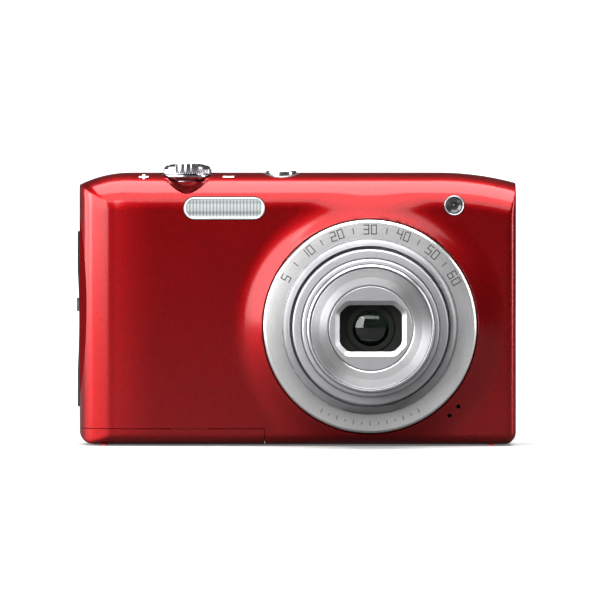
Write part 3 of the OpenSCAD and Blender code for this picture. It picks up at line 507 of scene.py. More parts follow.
def form(inset, back_d, front=True, pitch=0.55):
    """The closed outer form of one half of the body, from its curved face to a flat back at back_d."""
    r_left = (GRIP_ROUND if front else REAR_SIDE) - inset
    r_right = (SIDE_ROUND if front else REAR_SIDE) - inset
    r_top = (TOP_ROUND if front else REAR_TOP) - inset
    r_base = max((BASE_ROUND if front else REAR_BASE) - inset, 0.05)
    x0, x1 = LEFT + inset, RIGHT - inset
    left = edge_steps(r_left, 22, x0, 1)
    right = edge_steps(r_right, 10, x1, -1)[::-1]
    span = np.linspace(left[-1], right[0], int((right[0] - left[-1]) / pitch))
    xs = np.concatenate([left, span[1:-1], right])
    low = edge_steps(r_base, 10, 0, 1)
    high = edge_steps(r_top, 24, 0, 1)[::-1]
    rows = int((BODY_H - r_base - r_top) / pitch)
    top, base = top_edge(xs, inset), base_edge(xs, inset)
    columns = []
    for zt, zb in zip(top, base):
        mid = np.linspace(zb + r_base, zt - r_top, rows)
        columns.append(np.concatenate([zb + low, mid[1:-1], zt - high]))
    z = np.array(columns)
    x = np.repeat(xs[:, None], z.shape[1], 1)
    power = 3.2
    drops = [
        arc_drop(x - x0, r_left), arc_drop(x1 - x, r_right),
        arc_drop(z - base[:, None], r_base), arc_drop(top[:, None] - z, r_top),
    ]
    drop = sum(v ** power for v in drops) ** (1 / power)
    if front:
        drop += GRIP_BOW * np.clip(GRIP_BOW_X - x, 0, 9.5) ** 2 * (1 - np.clip(drop / 7, 0, 1))
        far = FRONT_D - inset
        drop = np.minimum(drop, far - SPLIT_D - 0.15)
        away = np.hypot(x - LENS[0], z - LENS[2])
        rise = FLARE_D - FRONT_D
        run = FLARE_R - SEAT_R - 0.3
        swell = (run * run + rise * rise) / (2 * rise)
        t = np.clip(FLARE_R - away, 0, run)
        lift = swell - np.sqrt(swell ** 2 - t ** 2)
        y = far - drop + lift * np.clip(1 - drop / 6, 0, 1)
    else:
        y = inset + drop
    nx, nz = x.shape
    front_v = [place(x[i, j], y[i, j], z[i, j]) for i in range(nx) for j in range(nz)]
    idx = lambda i, j: i * nz + j
    faces = [(idx(i, j), idx(i + 1, j), idx(i + 1, j + 1), idx(i, j + 1)) for i in range(nx - 1) for j in range(nz - 1)]
    edge = [(i, 0) for i in range(nx)] + [(nx - 1, j) for j in range(1, nz)]
    edge += [(i, nz - 1) for i in range(nx - 2, -1, -1)] + [(0, j) for j in range(nz - 2, 0, -1)]
    verts = list(front_v)
    back = []
    for i, j in edge:
        back.append(len(verts))
        verts.append(place(x[i, j], back_d, z[i, j]))
    n = len(edge)
    for k in range(n):
        m = (k + 1) % n
        faces.append((idx(*edge[k]), back[k], back[m], idx(*edge[m])))
    faces.append(back)
    return make("form", verts, faces)


STRIP_LO, STRIP_HI = (-42.4, 2.6), (42.7, 10.4)
STRIP_T, SEAM = 1.7, 0.15
DISH_R, DISH_Z, CUP_R, CUP_Z = 6.2, 56.3, 7.0, 55.1
POWER_DISH_R, POWER_RIM_Z, POWER_CUP_R, POWER_CUP_Z = 4.4, 56.7, 5.2, 56.0
DOOR_X, DOOR_Z, DOOR_WALL = -6.93, 3.44, 0.9
SCOOP_R, SCOOP_DEPTH, SCOOP_Z, SCOOP_D = 123.0, 1.65, 29.4, 10.6
GRIP_WALL_X = -44.0
PANEL_LO, PANEL_HI = shell_of("side_panel")
OVER = 2.0
SHUTTER_AXIS = axis_up(SHUTTER[0], SHUTTER[1])
POWER_AXIS = axis_up(POWER[0], POWER[1])


def strip_room(grow):
    return cutter_box(STRIP_LO[0] - grow, STRIP_HI[0] + grow, STRIP_LO[1] - grow, STRIP_HI[1] + grow,
                      BODY_H - STRIP_T - grow, BODY_H + OVER)


def door_room():
    return cutter_box(LEFT - OVER, DOOR_X, DOOR_WALL, FLARE_D + OVER, -OVER, DOOR_Z)


def panel_room():
    return cutter_box(LEFT - OVER, PANEL_HI[0] + 0.05, PANEL_LO[1] - SEAM, PANEL_HI[1] + SEAM,
                      PANEL_LO[2] - SEAM, PANEL_HI[2] + SEAM)


def usb_room():
    lo, hi = shell_of("usb_connector")
    return cutter_box(LEFT - OVER, GRIP_WALL_X + OVER, lo[1] - SEAM, hi[1] + SEAM, lo[2] - SEAM, hi[2] + SEAM)


def grip_wall():
    """The grip side is thick, so its hollow never breaks through."""
    return cutter_box(LEFT - OVER, GRIP_WALL_X, -OVER, FLARE_D + OVER, -OVER, BODY_H + OVER)


def dishes():
    """The round wells under the zoom lever and the power button, with softly broken rims."""
    lever = cutter_turned([(0, 53.2), (4.05, 53.2), (4.05, DISH_Z), (DISH_R, DISH_Z),
                           (DISH_R, BODY_H - 0.35), (DISH_R + 0.5, BODY_H + 0.1),
                           (DISH_R + 1.2, BODY_H + OVER), (0, BODY_H + OVER)], SHUTTER_AXIS)
    power = cutter_turned([(0, POWER_RIM_Z), (POWER_DISH_R + 0.02, POWER_RIM_Z), (POWER_DISH_R + 0.02, BODY_H + OVER),
                           (0, BODY_H + OVER)], POWER_AXIS)
    return [lever, power]


def front_depth(z):
    """Depth of the flat and rounded front at a height, away from the corners."""
    away = BODY_H - z
    return FRONT_D - float(arc_drop(np.array([away]), TOP_ROUND)[0])


def finger_groove():
    """A tapered scoop that leads the finger up to the zoom lever."""
    low, high, floor, ahead, count = 53.7, BODY_H + OVER, 13.5, 17.5, 96
    verts, levels = [], 40
    for k in range(levels + 1):
        z = low + (high - low) * (k / levels) ** 1.5
        t = min(1.0, (z - low) / 3.4)
        half_width = 0.25 + 4.85 * t ** 0.62
        reach = ahead - floor - 2.6 * (1 - t) ** 2.2
        share = (ahead - front_depth(min(z, 57.2))) / reach
        wide = half_width / math.sqrt(max(0.2, 1 - share * share))
        for s in range(count):
            a = 2 * math.pi * s / count
            verts.append(place(SHUTTER[0] + wide * math.sin(a), ahead - reach * math.cos(a), z))
    faces = [(k * count + s, k * count + (s + 1) % count, (k + 1) * count + (s + 1) % count, (k + 1) * count + s)
             for k in range(levels) for s in range(count)]
    faces += [list(range(count))[::-1], list(range(levels * count, (levels + 1) * count))]
    return make("tool", [tuple(v) for v in verts], faces)


def scoop():
    """The shallow hollow of the grip side."""
    axis = axis_forward(LEFT - SCOOP_R + SCOOP_DEPTH, SCOOP_Z)
    return cutter_rod(SCOOP_R, SCOOP_D, FLARE_D + OVER, axis, 1440)


front = form(0, SPLIT_D)
front.name = "front_shell"
hollow = carve(form(WALL, SPLIT_D - OVER, pitch=1.2),
               [cutter_box(-30.5, -17.0, 10.8, FLARE_D, 52.4, BODY_H), grip_wall()])
carve(front, [hollow])
flash_lo, flash_hi = shell_of("flash_window")
FLASH_W, FLASH_H = flash_hi[0] - flash_lo[0], flash_hi[2] - flash_lo[2]
FLASH_H = min(FLASH_H, 4.8)
flash_axis = axis_forward(FLASH[0], flash_lo[2] + FLASH_H / 2)
lamp_axis = axis_forward(LAMP[0], LAMP[2])
LAMP_R = (shell_of("lamp_bezel")[1][0] - shell_of("lamp_bezel")[0][0]) / 2
MICS = [(34.5, 8.15), (32.6, 6.2)]
carve(front, [
    scoop(),
    cutter_turned([(0, FRONT_D + 0.1), (SEAT_R, FRONT_D + 0.1), (SEAT_R, FLARE_D - 0.35),
                   (SEAT_R + 0.25, FLARE_D - 0.05), (SEAT_R + 0.8, FLARE_D + 0.3), (SEAT_R + 0.8, FLARE_D + OVER),
                   (0, FLARE_D + OVER)], LENS_AXIS, 256),
    cutter_rod(18.2, SPLIT_D - OVER, FLARE_D, LENS_AXIS),
    prism(capsule_outline(FLASH_W + 2 * SEAM, FLASH_H + 2 * SEAM), SPLIT_D, FLARE_D, flash_axis),
    cutter_rod(LAMP_R + SEAM, SPLIT_D, FLARE_D, lamp_axis),
    cutter_rod(0.45, SPLIT_D, FLARE_D, axis_forward(*MICS[0]), 32),
    cutter_rod(0.45, SPLIT_D, FLARE_D, axis_forward(*MICS[1]), 32),
    door_room(), panel_room(), usb_room(), strip_room(SEAM), *dishes(), finger_groove(),
])
front.data.materials.clear()
front.data.materials.append(M["red"])
seat(front, "camera_body", "red_shell", "front_cover")

rear = form(0, SPLIT_D, front=False, pitch=1.0)
rear.name = "rear_shell"
carve(rear, [carve(form(WALL, SPLIT_D + OVER, front=False, pitch=1.5), [grip_wall()])])
lcd_lo, lcd_hi = shell_of("lcd_window")
KEYS = {n: middle(n) for n in ("playback_button", "display_button", "menu_button")}
SWITCH = middle("mode_switch")
keyholes = [cutter_rod(2.75, -OVER, OVER, axis_forward(k[0], k[2])) for k in KEYS.values()]
carve(rear, [
    cutter_box(lcd_lo[0] - 0.05, lcd_hi[0] + 0.05, -OVER, lcd_hi[1], lcd_lo[2] - 0.05, lcd_hi[2] + 0.05),
    cutter_box(lcd_lo[0] + 1.3, lcd_hi[0] - 1.3, -OVER, OVER, lcd_lo[2] + 1.3, lcd_hi[2] - 1.3),
    cutter_rod(9.5, -OVER, OVER, axis_forward(SELECTOR[0], SELECTOR[2])),
    prism(capsule_outline(9.3, 2.7), -OVER, OVER, axis_forward(SWITCH[0], SWITCH[2])),
    *keyholes, door_room(), panel_room(), usb_room(), strip_room(SEAM), *dishes(),
    cutter_box(-44.95, -40.85, 0.55, DOOR_WALL + OVER, -OVER, 0.12),
    cutter_rod(4.75, -OVER, OVER, Matrix.Translation(place(-1.6, 8.8, 0))),
])
rear.data.materials.clear()
rear.data.materials.append(M["red"])
seat(rear, "camera_body", "red_shell", "rear_cover")


def half_forms():
    """Both halves, for the pieces that lie across the seam between them."""
    return form(0, SPLIT_D - 0.02, pitch=1.0), form(0, SPLIT_D + 0.02, front=False, pitch=1.0)


def from_forms(name, tool, more=()):
    """The part of the whole outer form that lies inside a tool shape."""
    ahead, behind = half_forms()
    carve(ahead, [behind], "UNION")
    carve(ahead, [tool], "INTERSECT")
    if more:
        carve(ahead, list(more))
    ahead.name = name
    ahead.data.materials.clear()
    ahead.data.materials.append(M["red"])
    return ahead


top = from_forms("top_strip", strip_room(0), dishes())
cup_wall = [(4.05, CUP_Z), (CUP_R, CUP_Z), (CUP_R, DISH_Z - 0.02), (4.05, DISH_Z - 0.02)]
power_wall = [(3.5, POWER_CUP_Z), (POWER_CUP_R, POWER_CUP_Z), (POWER_CUP_R, POWER_RIM_Z - 0.02),
              (3.5, POWER_RIM_Z - 0.02)]
seat(top, "camera_body", "red_shell", "top_plate")
lever_cup = turned("lever_cup", cup_wall, SHUTTER_AXIS, M["red"], soft=0.05)
power_cup = turned("power_cup", power_wall, POWER_AXIS, M["red"], soft=0.05)
carve(lever_cup, [cutter_box(-31.5, -16.0, 10.85, FLARE_D, 50.0, BODY_H)])
for piece in (lever_cup, power_cup):
    seat(piece, "camera_body", "red_shell")

bar_lo, bar_hi = shell_of("strap_bar")
bar_z = (bar_lo[2] + bar_hi[2]) / 2
well = cutter_box(PANEL_HI[0] - 0.3, PANEL_HI[0], bar_lo[1] + 0.05, bar_hi[1] - 0.05, bar_z - 3.35, bar_z + 3.35)
well.name = "strap_well"
well.data.materials.clear()
well.data.materials.append(M["black"])
seat(well, "camera_body", "black_gloss")

DOOR_LO, DOOR_HI = shell_of("battery_door")
door = from_forms(
    "door_cover",
    cutter_box(LEFT - OVER, DOOR_HI[0], DOOR_LO[1] + 1.05, FLARE_D + OVER, -OVER, DOOR_HI[2]),
    [carve(form(WALL + 0.05, 3.0, pitch=1.5), [cutter_box(LEFT - OVER, -45.6, 0, FLARE_D, -OVER, BODY_H)]),
     cutter_box(-45.6, -40.0, -OVER, 3.4, -OVER, BODY_H), cutter_box(-8.9, OVER, -OVER, 3.4, -OVER, BODY_H)],
)
seat(door, "battery_door", "red_shell", "battery_door")

# ---- The lens --------------------------------------------------------------------------
BEVEL_R, BORE_R = 18.9, 17.2
ring_lo, ring_hi = shell_of("lens_ring")
RING_D0, RING_D = ring_lo[1], ring_hi[1]
trim = turned("trim_ring", [
    (BEVEL_R - 0.02, RING_D0), (RING_R, RING_D0), (RING_R, RING_D - 0.42), (RING_R - 0.42, RING_D),
    (BEVEL_R + 0.05, RING_D), (BEVEL_R - 0.02, RING_D - 0.12),
], LENS_AXIS, M["ring"], 256, soft=0.1)
seat(trim, "camera_body", "silver_trim", "lens_ring")
bevel = turned("trim_bevel", [
    (BORE_R, RING_D0), (BEVEL_R - 0.03, RING_D0), (BEVEL_R - 0.03, RING_D - 0.05), (BEVEL_R - 0.5, RING_D - 0.25),
    (BORE_R + 0.35, RING_D - 1.05), (BORE_R, RING_D - 1.3),
], LENS_AXIS, M["bevel"], 256, soft=0.12)
seat(bevel, "camera_body", "silver_trim")


def barrel(name, node, body, material, r_lip, flange_r, flange_t, grooves, edge=0.3):
    """A telescoping barrel with turned grooves near its front, sized from its CAD node."""
    lo, hi = shell_of(node)
    back, face = lo[1], hi[1]
    r_out = flange_r[1]
    r_bore = r_lip + flange_r[2]
    points = [(r_bore, back), (flange_r[0], back), (flange_r[0], back + flange_t), (r_out, back + flange_t)]
    for g in grooves:
        points += [(r_out, face - g - 0.16), (r_out - 0.14, face - g - 0.1), (r_out - 0.14, face - g + 0.1),
                   (r_out, face - g + 0.16)]
    points += [(r_out, face - edge), (r_out - edge, face), (r_lip + 0.2, face), (r_lip, face - 0.2),
               (r_lip, face - 1.2), (r_bore, face - 1.2)]
    obj = turned(name, points, LENS_AXIS, material, 224, soft=0.07)
    return seat(obj, body, "barrel_grey", node)


barrel("barrel_outer", "outer_barrel", "outer_barrel", M["barrel"], 14.7, (18.3, 16.6, 1.0), 1.0, (0.9, 6.6))
barrel("barrel_middle", "middle_barrel", "middle_barrel", M["barrel"], 13.6, (15.6, 14.6, 0.35), 1.0, (0.8,))
inner_lo, inner_hi = shell_of("inner_barrel")
IN_BACK, IN_FACE = inner_lo[1], inner_hi[1]
FACE_D = shell_of("front_ring")[1][1]
FACE_BACK = shell_of("front_ring")[0][1]
inner = turned("barrel_inner", [
    (12.6, IN_BACK), (13.85, IN_BACK), (13.85, IN_BACK + 1), (13.5, IN_BACK + 1),
    (13.5, IN_FACE - 0.28), (13.22, IN_FACE), (12.98, IN_FACE), (12.95, FACE_BACK), (12.6, FACE_BACK),
], LENS_AXIS, M["trim"], 224, soft=0.06)
seat(inner, "inner_barrel", "barrel_grey", "inner_barrel")
face = turned("face_ring", [
    (9.02, FACE_BACK), (12.85, FACE_BACK), (12.85, FACE_D - 0.25), (12.62, FACE_D - 0.02),
    (10.9, FACE_D - 0.12), (9.3, FACE_D - 0.02), (9.02, FACE_D - 0.16),
], LENS_AXIS, M["face"], 224, soft=0.08)
seat(face, "inner_barrel", "silver_trim", "front_ring")


def window_outline(w, h, cut, soft=0.7):
    pts = [(-w + cut, -h), (w - cut, -h), (w, -h + cut), (w, h - cut),
           (w - cut, h), (-w + cut, h), (-w, h - cut), (-w, -h + cut)]
    return softened(pts, soft, 5)


def framed_disc(name, r, matrix, material, window, back_d, face_d, bevel_w, bevel_t):
    """A round disc with a bevelled, cut-cornered window through it."""
    segments = 192
    w, h, cut = window
    inner_pts = window_outline(w, h, cut)
    wide_pts = window_outline(w + bevel_w, h + bevel_w, cut + bevel_w * 0.6)

    def at_angle(points, a):
        d = Vector((math.cos(a), math.sin(a)))
        best = 0
        for i in range(len(points)):
            p, q = Vector(points[i]), Vector(points[(i + 1) % len(points)])
            e = q - p
            den = d.x * e.y - d.y * e.x
            if abs(den) < 1e-9:
                continue
            t = (p.x * e.y - p.y * e.x) / den
            s = (p.x * d.y - p.y * d.x) / den
            if t > 0 and -1e-6 <= s <= 1 + 1e-6:
                best = max(best, t)
        return best

    loops = []
    for kind in range(7):
        loop = []
        for k in range(segments):
            a = 2 * math.pi * (k + 0.5) / segments
            narrow, wide = at_angle(inner_pts, a), at_angle(wide_pts, a)
            rr, dd = [
                (narrow, back_d), (r, back_d), (r, face_d - 0.14), (r - 0.14, face_d), (wide + 0.12, face_d),
                (wide - 0.05, face_d - 0.1), (narrow, face_d - bevel_t),
            ][kind]
            loop.append((rr * math.cos(a) * MM, rr * math.sin(a) * MM, dd * MM))
        loops.append(loop)
    verts = [v for loop in loops for v in loop]
    faces = []
    for k in range(len(loops)):
        m = (k + 1) % len(loops)
        for s in range(segments):
            n = (s + 1) % segments
            faces.append((k * segments + s, k * segments + n, m * segments + n, m * segments + s))
    return make(name, verts, faces, matrix, material, 28)


disc = framed_disc("face_disc", 8.92, LENS_AXIS, M["disc"], (6.62, 4.95, 1.75), FACE_BACK, FACE_D, 0.85, 0.75)
seat(disc, "inner_barrel", "silver_trim", "barrier_frame")

lens_lo, lens_hi = shell_of("front_lens")
LENS_R = (lens_hi[0] - lens_lo[0]) / 2
DOME_SAG = 1.5
dome = [(0, lens_hi[1])]
for s in range(1, 17):
    t = s / 16
    dome.append((LENS_R * t, lens_hi[1] - DOME_SAG * t * t))
glass = turned("front_glass", dome + [(LENS_R, lens_lo[1]), (0, lens_lo[1] + 0.3)], LENS_AXIS, M["lens"], 128,
               closed=False, soft=0)
seat(glass, "inner_barrel", "coated_glass", "front_lens")
holder_lo, holder_hi = shell_of("front_group_holder")
steps = []
for s in range(5):
    r = 12.0 - s * 1.6
    steps += [(r, holder_hi[1] - 0.35 * s), (r - 0.5, holder_hi[1] - 0.35 * s - 0.18)]
holder = turned("group_holder", [
    (5.0, holder_lo[1]), (12.3, holder_lo[1]), (12.3, holder_hi[1]), *steps, (3.9, holder_hi[1] - 1.6),
    (3.9, lens_hi[1] + 0.2), (5.0, lens_hi[1] + 0.2),
], LENS_AXIS, M["baffle"], 128, soft=0.05)
ROD_X, ROD_ROOM_R = 10.5, 1.0
carve(holder, [cutter_rod(ROD_ROOM_R, holder_lo[1] - OVER, holder_hi[1] + OVER, axis_forward(LENS[0] + x, LENS[2]), 48)
               for x in (-ROD_X, ROD_X)])
seat(holder, "inner_barrel", "black_matte", "front_group_holder")


def joined(name, objects):
    """One piece out of several that stay together."""
    bm = bmesh.new()
    base = LENS_AXIS.copy()
    for o in objects:
        part = bmesh.new()
        part.from_mesh(o.data)
        part.transform(base.inverted() @ o.matrix_world)
        temp = bpy.data.meshes.new("temp")
        part.to_mesh(temp)
        bm.from_mesh(temp)
        part.free()
    mesh = bpy.data.meshes.new(name)
    bm.to_mesh(mesh)
    bm.free()
    material = objects[0].data.materials[0]
    for o in objects:
        bpy.data.objects.remove(o)
    return finish_mesh(name, mesh, base, material)


def bars(name, rects, matrix, h0, h1, material):
    """Flat marks made of small bars: (x, y, width, height, turn in degrees), in mm."""
    made = []
    for x, y, w, h, turn in rects:
        outline = softened([(-w / 2, -h / 2), (w / 2, -h / 2), (w / 2, h / 2), (-w / 2, h / 2)], min(w, h) * 0.2, 2)
        spin = Matrix.Translation((x * MM, y * MM, 0)) @ Matrix.Rotation(math.radians(turn), 4, "Z")
        made.append(prism(outline, h0, h1, matrix @ spin, name, material))
    return joined(name, made)


# Seven-bar numerals, drawn from their strokes.
STROKES = {
    "0": "abcdef", "1": "bc", "2": "abged", "3": "abgcd", "4": "fgbc", "5": "afgcd", "6": "afgecd", "7": "abc",
    "8": "abcdefg", "9": "abfgcd",
}


def numeral_bars(text, size, weight):
    w, h = size * 0.55, size
    spots = {
        "a": (0, h / 2, w, weight), "g": (0, 0, w, weight), "d": (0, -h / 2, w, weight),
        "f": (-w / 2, h / 4, weight, h / 2), "b": (w / 2, h / 4, weight, h / 2),
        "e": (-w / 2, -h / 4, weight, h / 2), "c": (w / 2, -h / 4, weight, h / 2),
    }
    out = []
    pitch = size * 0.86
    for i, ch in enumerate(text):
        x = (i - (len(text) - 1) / 2) * pitch
        for s in STROKES[ch]:
            sx, sy, sw, sh = spots[s]
            grow = weight * 0.9
            out.append((x + sx, sy, sw + (grow if sw > sh else 0), sh + (grow if sh > sw else 0), 0))
    return out


# Generic dial marks on the trim ring: numerals with ticks between them above the lens, ticks alone below it.
MARK_R = 20.75
dial = [(math.radians(k * 5), [(0, 0, 0.2, 1.3, 0)]) for k in range(-10, 11, 4)]
for k, text in enumerate(("5", "10", "20", "30", "40", "50", "60"), -3):
    dial.append((math.radians(-k * 20), numeral_bars(text, 1.9, 0.22)))
for k in range(-6, 7):
    dial.append((math.radians(180 + k * 5), [(0, 0, 0.16, 0.55 if k % 2 else 1.0, 0)]))
pieces = []
for a, rects in dial:
    spin = LENS_AXIS @ Matrix.Rotation(a, 4, "Z") @ Matrix.Translation((0, MARK_R * MM, 0))
    pieces.append(bars("ring_marks", rects, spin, RING_D - 0.03, RING_D + 0.006, M["ink"]))
marks = joined("ring_marks", pieces)
seat(marks, "camera_body", "black_matte")

# ---- Flash, lamp and microphones -------------------------------------------------------


def flash_lens():
    """Clear capsule whose front follows the body, with a pale rim. Its ribs are painted into the material as lines of
    shade, with a bump.
    """
    w, h = FLASH_W / 2, FLASH_H / 2
    nx, ny = 176, 40
    zc = flash_lo[2] + FLASH_H / 2
    verts, faces, margins = [], [], []
    for i in range(nx + 1):
        u = -1 + 2 * i / nx
        for j in range(ny + 1):
            v = -1 + 2 * j / ny
            reach = w - h + math.sqrt(max(h * h - (v * h) ** 2, 0))
            x, z = u * reach, v * h
            edge = min(h - abs(v) * h, (1 - abs(u)) * reach)
            margins.append(edge)
            inside = min(1, max(0, (edge - 0.42) / 0.25))
            rim = 0.12 * math.sqrt(min(1, max(0, edge) / 0.12)) - 0.12
            d = front_depth(zc + z) - 0.14 - inside * 0.16 + rim
            verts.append((x * MM, z * MM, d * MM))
    ring_faces = []
    for i in range(nx):
        for j in range(ny):
            a = i * (ny + 1) + j
            faces.append((a, a + ny + 1, a + ny + 2, a + 1))
            ring_faces.append(margins[a] < 0.4)
    edge = [i * (ny + 1) for i in range(nx + 1)] + [nx * (ny + 1) + j for j in range(1, ny + 1)]
    edge += [i * (ny + 1) + ny for i in range(nx - 1, -1, -1)] + [j for j in range(ny - 1, 0, -1)]
    back = []
    for e in edge:
        back.append(len(verts))
        verts.append((verts[e][0], verts[e][1], flash_lo[1] * MM))
    n = len(edge)
    for k in range(n):
        m = (k + 1) % n
        faces.append((edge[k], back[k], back[m], edge[m]))
    faces.append(back)
    obj = make("flash_cover", verts, faces, flash_axis, M["clear"], 50)
    obj.data.materials.append(M["pale"])
    for face in obj.data.polygons:
        if face.index < len(ring_faces) and ring_faces[face.index]:
            face.material_index = 1
    bm = bmesh.new()
    bm.from_mesh(obj.data)
    bmesh.ops.remove_doubles(bm, verts=bm.verts, dist=1e-6)
    bm.to_mesh(obj.data)
    bm.free()
    return obj


seat(flash_lens(), "camera_body", "clear", "flash_window")
ref_lo, ref_hi = shell_of("flash_reflector")


def reflector():
    """A shallow foil bowl behind the flash cover, open to the front."""
    depth = ref_hi[1] - ref_lo[1]
    w, h = FLASH_W - 0.7, FLASH_H - 0.7
    levels = [(0.0, 0.0), (0.35, 0.45), (0.95, 0.78), (1.7, 1.0)]
    loops = [(w - 2 * a, h - 2 * a, ref_hi[1] - depth * t) for a, t in levels]
    loops += [(w - 2 * a + 0.4, h - 2 * a + 0.4, ref_hi[1] - depth * t - (0.3 if t else 0)) for a, t in levels[::-1]]
    verts, faces = [], []
    count = len(capsule_outline(w, h))
    for lw_, lh_, d in loops:
        verts += [(x * MM, z * MM, d * MM) for x, z in capsule_outline(lw_, lh_)]
    for k in range(len(loops)):
        m = (k + 1) % len(loops)
        if k == 3:
            continue
        faces += [(k * count + i, k * count + (i + 1) % count, m * count + (i + 1) % count, m * count + i)
                  for i in range(count)]
    faces.append(list(range(3 * count, 4 * count)))
    faces.append(list(range(5 * count - 1, 4 * count - 1, -1)))
    return make("flash_trough", verts, faces, flash_axis, M["foil"], 40)


seat(reflector(), "camera_body", "reflector", "flash_reflector")

lamp_face = front_depth(LAMP[2])
bezel = turned("lamp_rim", [
    (LAMP_R - 0.4, 14.2), (LAMP_R, 14.2), (LAMP_R, lamp_face - 0.12), (LAMP_R - 0.12, lamp_face - 0.04),
    (LAMP_R - 0.28, lamp_face - 0.1), (LAMP_R - 0.4, lamp_face - 0.4),
], lamp_axis, M["barrel_dark"], 96, soft=0.04)
seat(bezel, "camera_body", "silver_trim", "lamp_bezel")
lamp = turned("lamp_window", [
    (0, 14.2), (LAMP_R - 0.42, 14.2), (LAMP_R - 0.42, lamp_face - 0.5), (LAMP_R - 0.6, lamp_face - 0.42),
    (0.95, lamp_face - 0.72), (0.82, lamp_face - 0.5), (0.68, lamp_face - 0.72), (0.5, lamp_face - 0.95),
    (0.3, lamp_face - 0.75), (0, lamp_face - 0.68),
], lamp_axis, M["black"], 96, closed=False, soft=0.05)
seat(lamp, "camera_body", "black_gloss", "lamp_lens")

# ---- Top controls ----------------------------------------------------------------------
lever_lo, lever_hi = shell_of("zoom_lever")
LEVER_R = (lever_hi[0] - lever_lo[0]) / 2


def knurl(a, r, h):
    """Fine teeth round the middle band of the lever."""
    if r > LEVER_R - 0.75 and 58.05 < h < 58.9:
        return -0.09 * (0.5 + 0.5 * math.cos(a * 72))
    return 0.0


lever = turned("lever_disc", [
    (3.3, 54.3), (4.0, 54.3), (4.0, 56.5), (LEVER_R - 0.75, 56.5), (LEVER_R, 57.3), (LEVER_R, 57.75),
    (LEVER_R - 0.42, 57.98), (LEVER_R - 0.42, 58.06), (LEVER_R - 0.42, 58.3), (LEVER_R - 0.42, 58.6),
    (LEVER_R - 0.42, 58.88), (LEVER_R - 0.62, 59.0), (LEVER_R - 0.75, 59.45), (4.45, 59.8), (4.15, 59.8),
    (4.15, 57.9), (3.3, 57.9),
], SHUTTER_AXIS, M["chrome"], 432, soft=0.05, grips=knurl)
seat(lever, "zoom_lever", "chrome", "zoom_lever")


def thumb_tab():
    """The ridged tab at the front of the lever."""
    w, reach, z0, z1 = 2.45, 7.25, 58.2, 60.25
    outline = []
    for s in range(25):
        x = -w + 2 * w * s / 24
        ridge = 0.16 * (0.5 - 0.5 * math.cos(2 * math.pi * s / 24 * 4)) if 0 < s < 24 else 0
        outline.append((x, -math.sqrt(reach ** 2 - x * x) + ridge))
    outline += [(w, -4.5), (-w, -4.5)]
    obj = prism(outline, z0, z1, SHUTTER_AXIS, "lever_tab", M["chrome"], 50)
    bm = bmesh.new()
    bm.from_mesh(obj.data)
    rims = [e for e in bm.edges if abs(e.verts[0].co.z - e.verts[1].co.z) < 1e-7]
    bmesh.ops.bevel(bm, geom=rims, offset=0.16 * MM, segments=3, affect="EDGES", profile=0.6)
    bm.to_mesh(obj.data)
    bm.free()
    obj.data.shade_smooth()
    obj.data.set_sharp_from_angle(angle=math.radians(40))
    return obj


seat(thumb_tab(), "zoom_lever", "chrome")
# A small black patch on the front of the lever's lower rim, below the tab.
lever_black_patch = turned("lever_black_patch_piece", [(LEVER_R - 0.6, 56.95), (LEVER_R + 0.02, 57.3), (LEVER_R + 0.02, 57.8),
                              (LEVER_R - 0.6, 57.9)], SHUTTER_AXIS, M["ink"], 192, soft=0.02)
bm = bmesh.new()
bm.from_mesh(lever_black_patch.data)
bmesh.ops.bisect_plane(bm, geom=bm.verts[:] + bm.edges[:] + bm.faces[:], plane_co=(0.8 * MM, 0, 0),
                       plane_no=(1, 0, 0), clear_outer=True)
bmesh.ops.bisect_plane(bm, geom=bm.verts[:] + bm.edges[:] + bm.faces[:], plane_co=(-0.1 * MM, 0, 0),
                       plane_no=(-1, 0, 0), clear_outer=True)
bmesh.ops.bisect_plane(bm, geom=bm.verts[:] + bm.edges[:] + bm.faces[:], plane_co=(0, 0, 0),
                       plane_no=(0, 1, 0), clear_outer=True)
bmesh.ops.holes_fill(bm, edges=[e for e in bm.edges if e.is_boundary])
bmesh.ops.recalc_face_normals(bm, faces=bm.faces)
bm.to_mesh(lever_black_patch.data)
bm.free()
seat(lever_black_patch, "zoom_lever", "black_matte")

cap = turned("shutter_cap", [
    (0, 54.2), (3.0, 54.2), (3.0, 59.0), (3.95, 59.0), (3.95, 59.75), (3.7, 59.98), (3.3, 60.02), (2.9, 60.08),
    (2.5, 60.2), (1.6, 60.32), (0.7, 60.38), (0, 60.39),
], SHUTTER_AXIS, M["chrome"], 160, closed=False, soft=0.08)
seat(cap, "shutter_button", "chrome", "shutter_button")

key = turned("power_key", [
    (0, 54.4), (3.8, 54.4), (3.8, 55.4), (3.3, 55.4), (3.3, 58.45), (3.1, 58.66), (2.7, 58.6), (1.5, 58.46),
    (0, 58.42),
], POWER_AXIS, M["chrome"], 160, closed=False, soft=0.08)
seat(key, "power_button", "chrome", "power_button")
rim_verts, rim_faces = turned_mesh([
    (3.42, POWER_RIM_Z), (POWER_DISH_R, POWER_RIM_Z), (POWER_DISH_R, BODY_H + 0.3), (POWER_DISH_R - 0.3, BODY_H + 0.3),
    (3.75, 57.35), (3.42, 57.1),
], 160)
dish_rim = from_forms("power_rim", make("tool", rim_verts, rim_faces, POWER_AXIS))
dish_rim.data.materials.clear()
dish_rim.data.materials.append(M["trim"])
seat(dish_rim, "camera_body", "silver_trim")
stem = [(0, 0.35, 0.22, 0.8, 0)]
arc = []
for s in range(-5, 6):
    a = math.radians(s * 28 - 90)
    arc.append((0.75 * math.cos(a), 0.75 * math.sin(a), 0.46, 0.2, s * 28))
power_mark = bars("power_mark", stem + arc, POWER_AXIS, 58.4, 58.475, M["ink"])
seat(power_mark, "power_button", "black_matte")

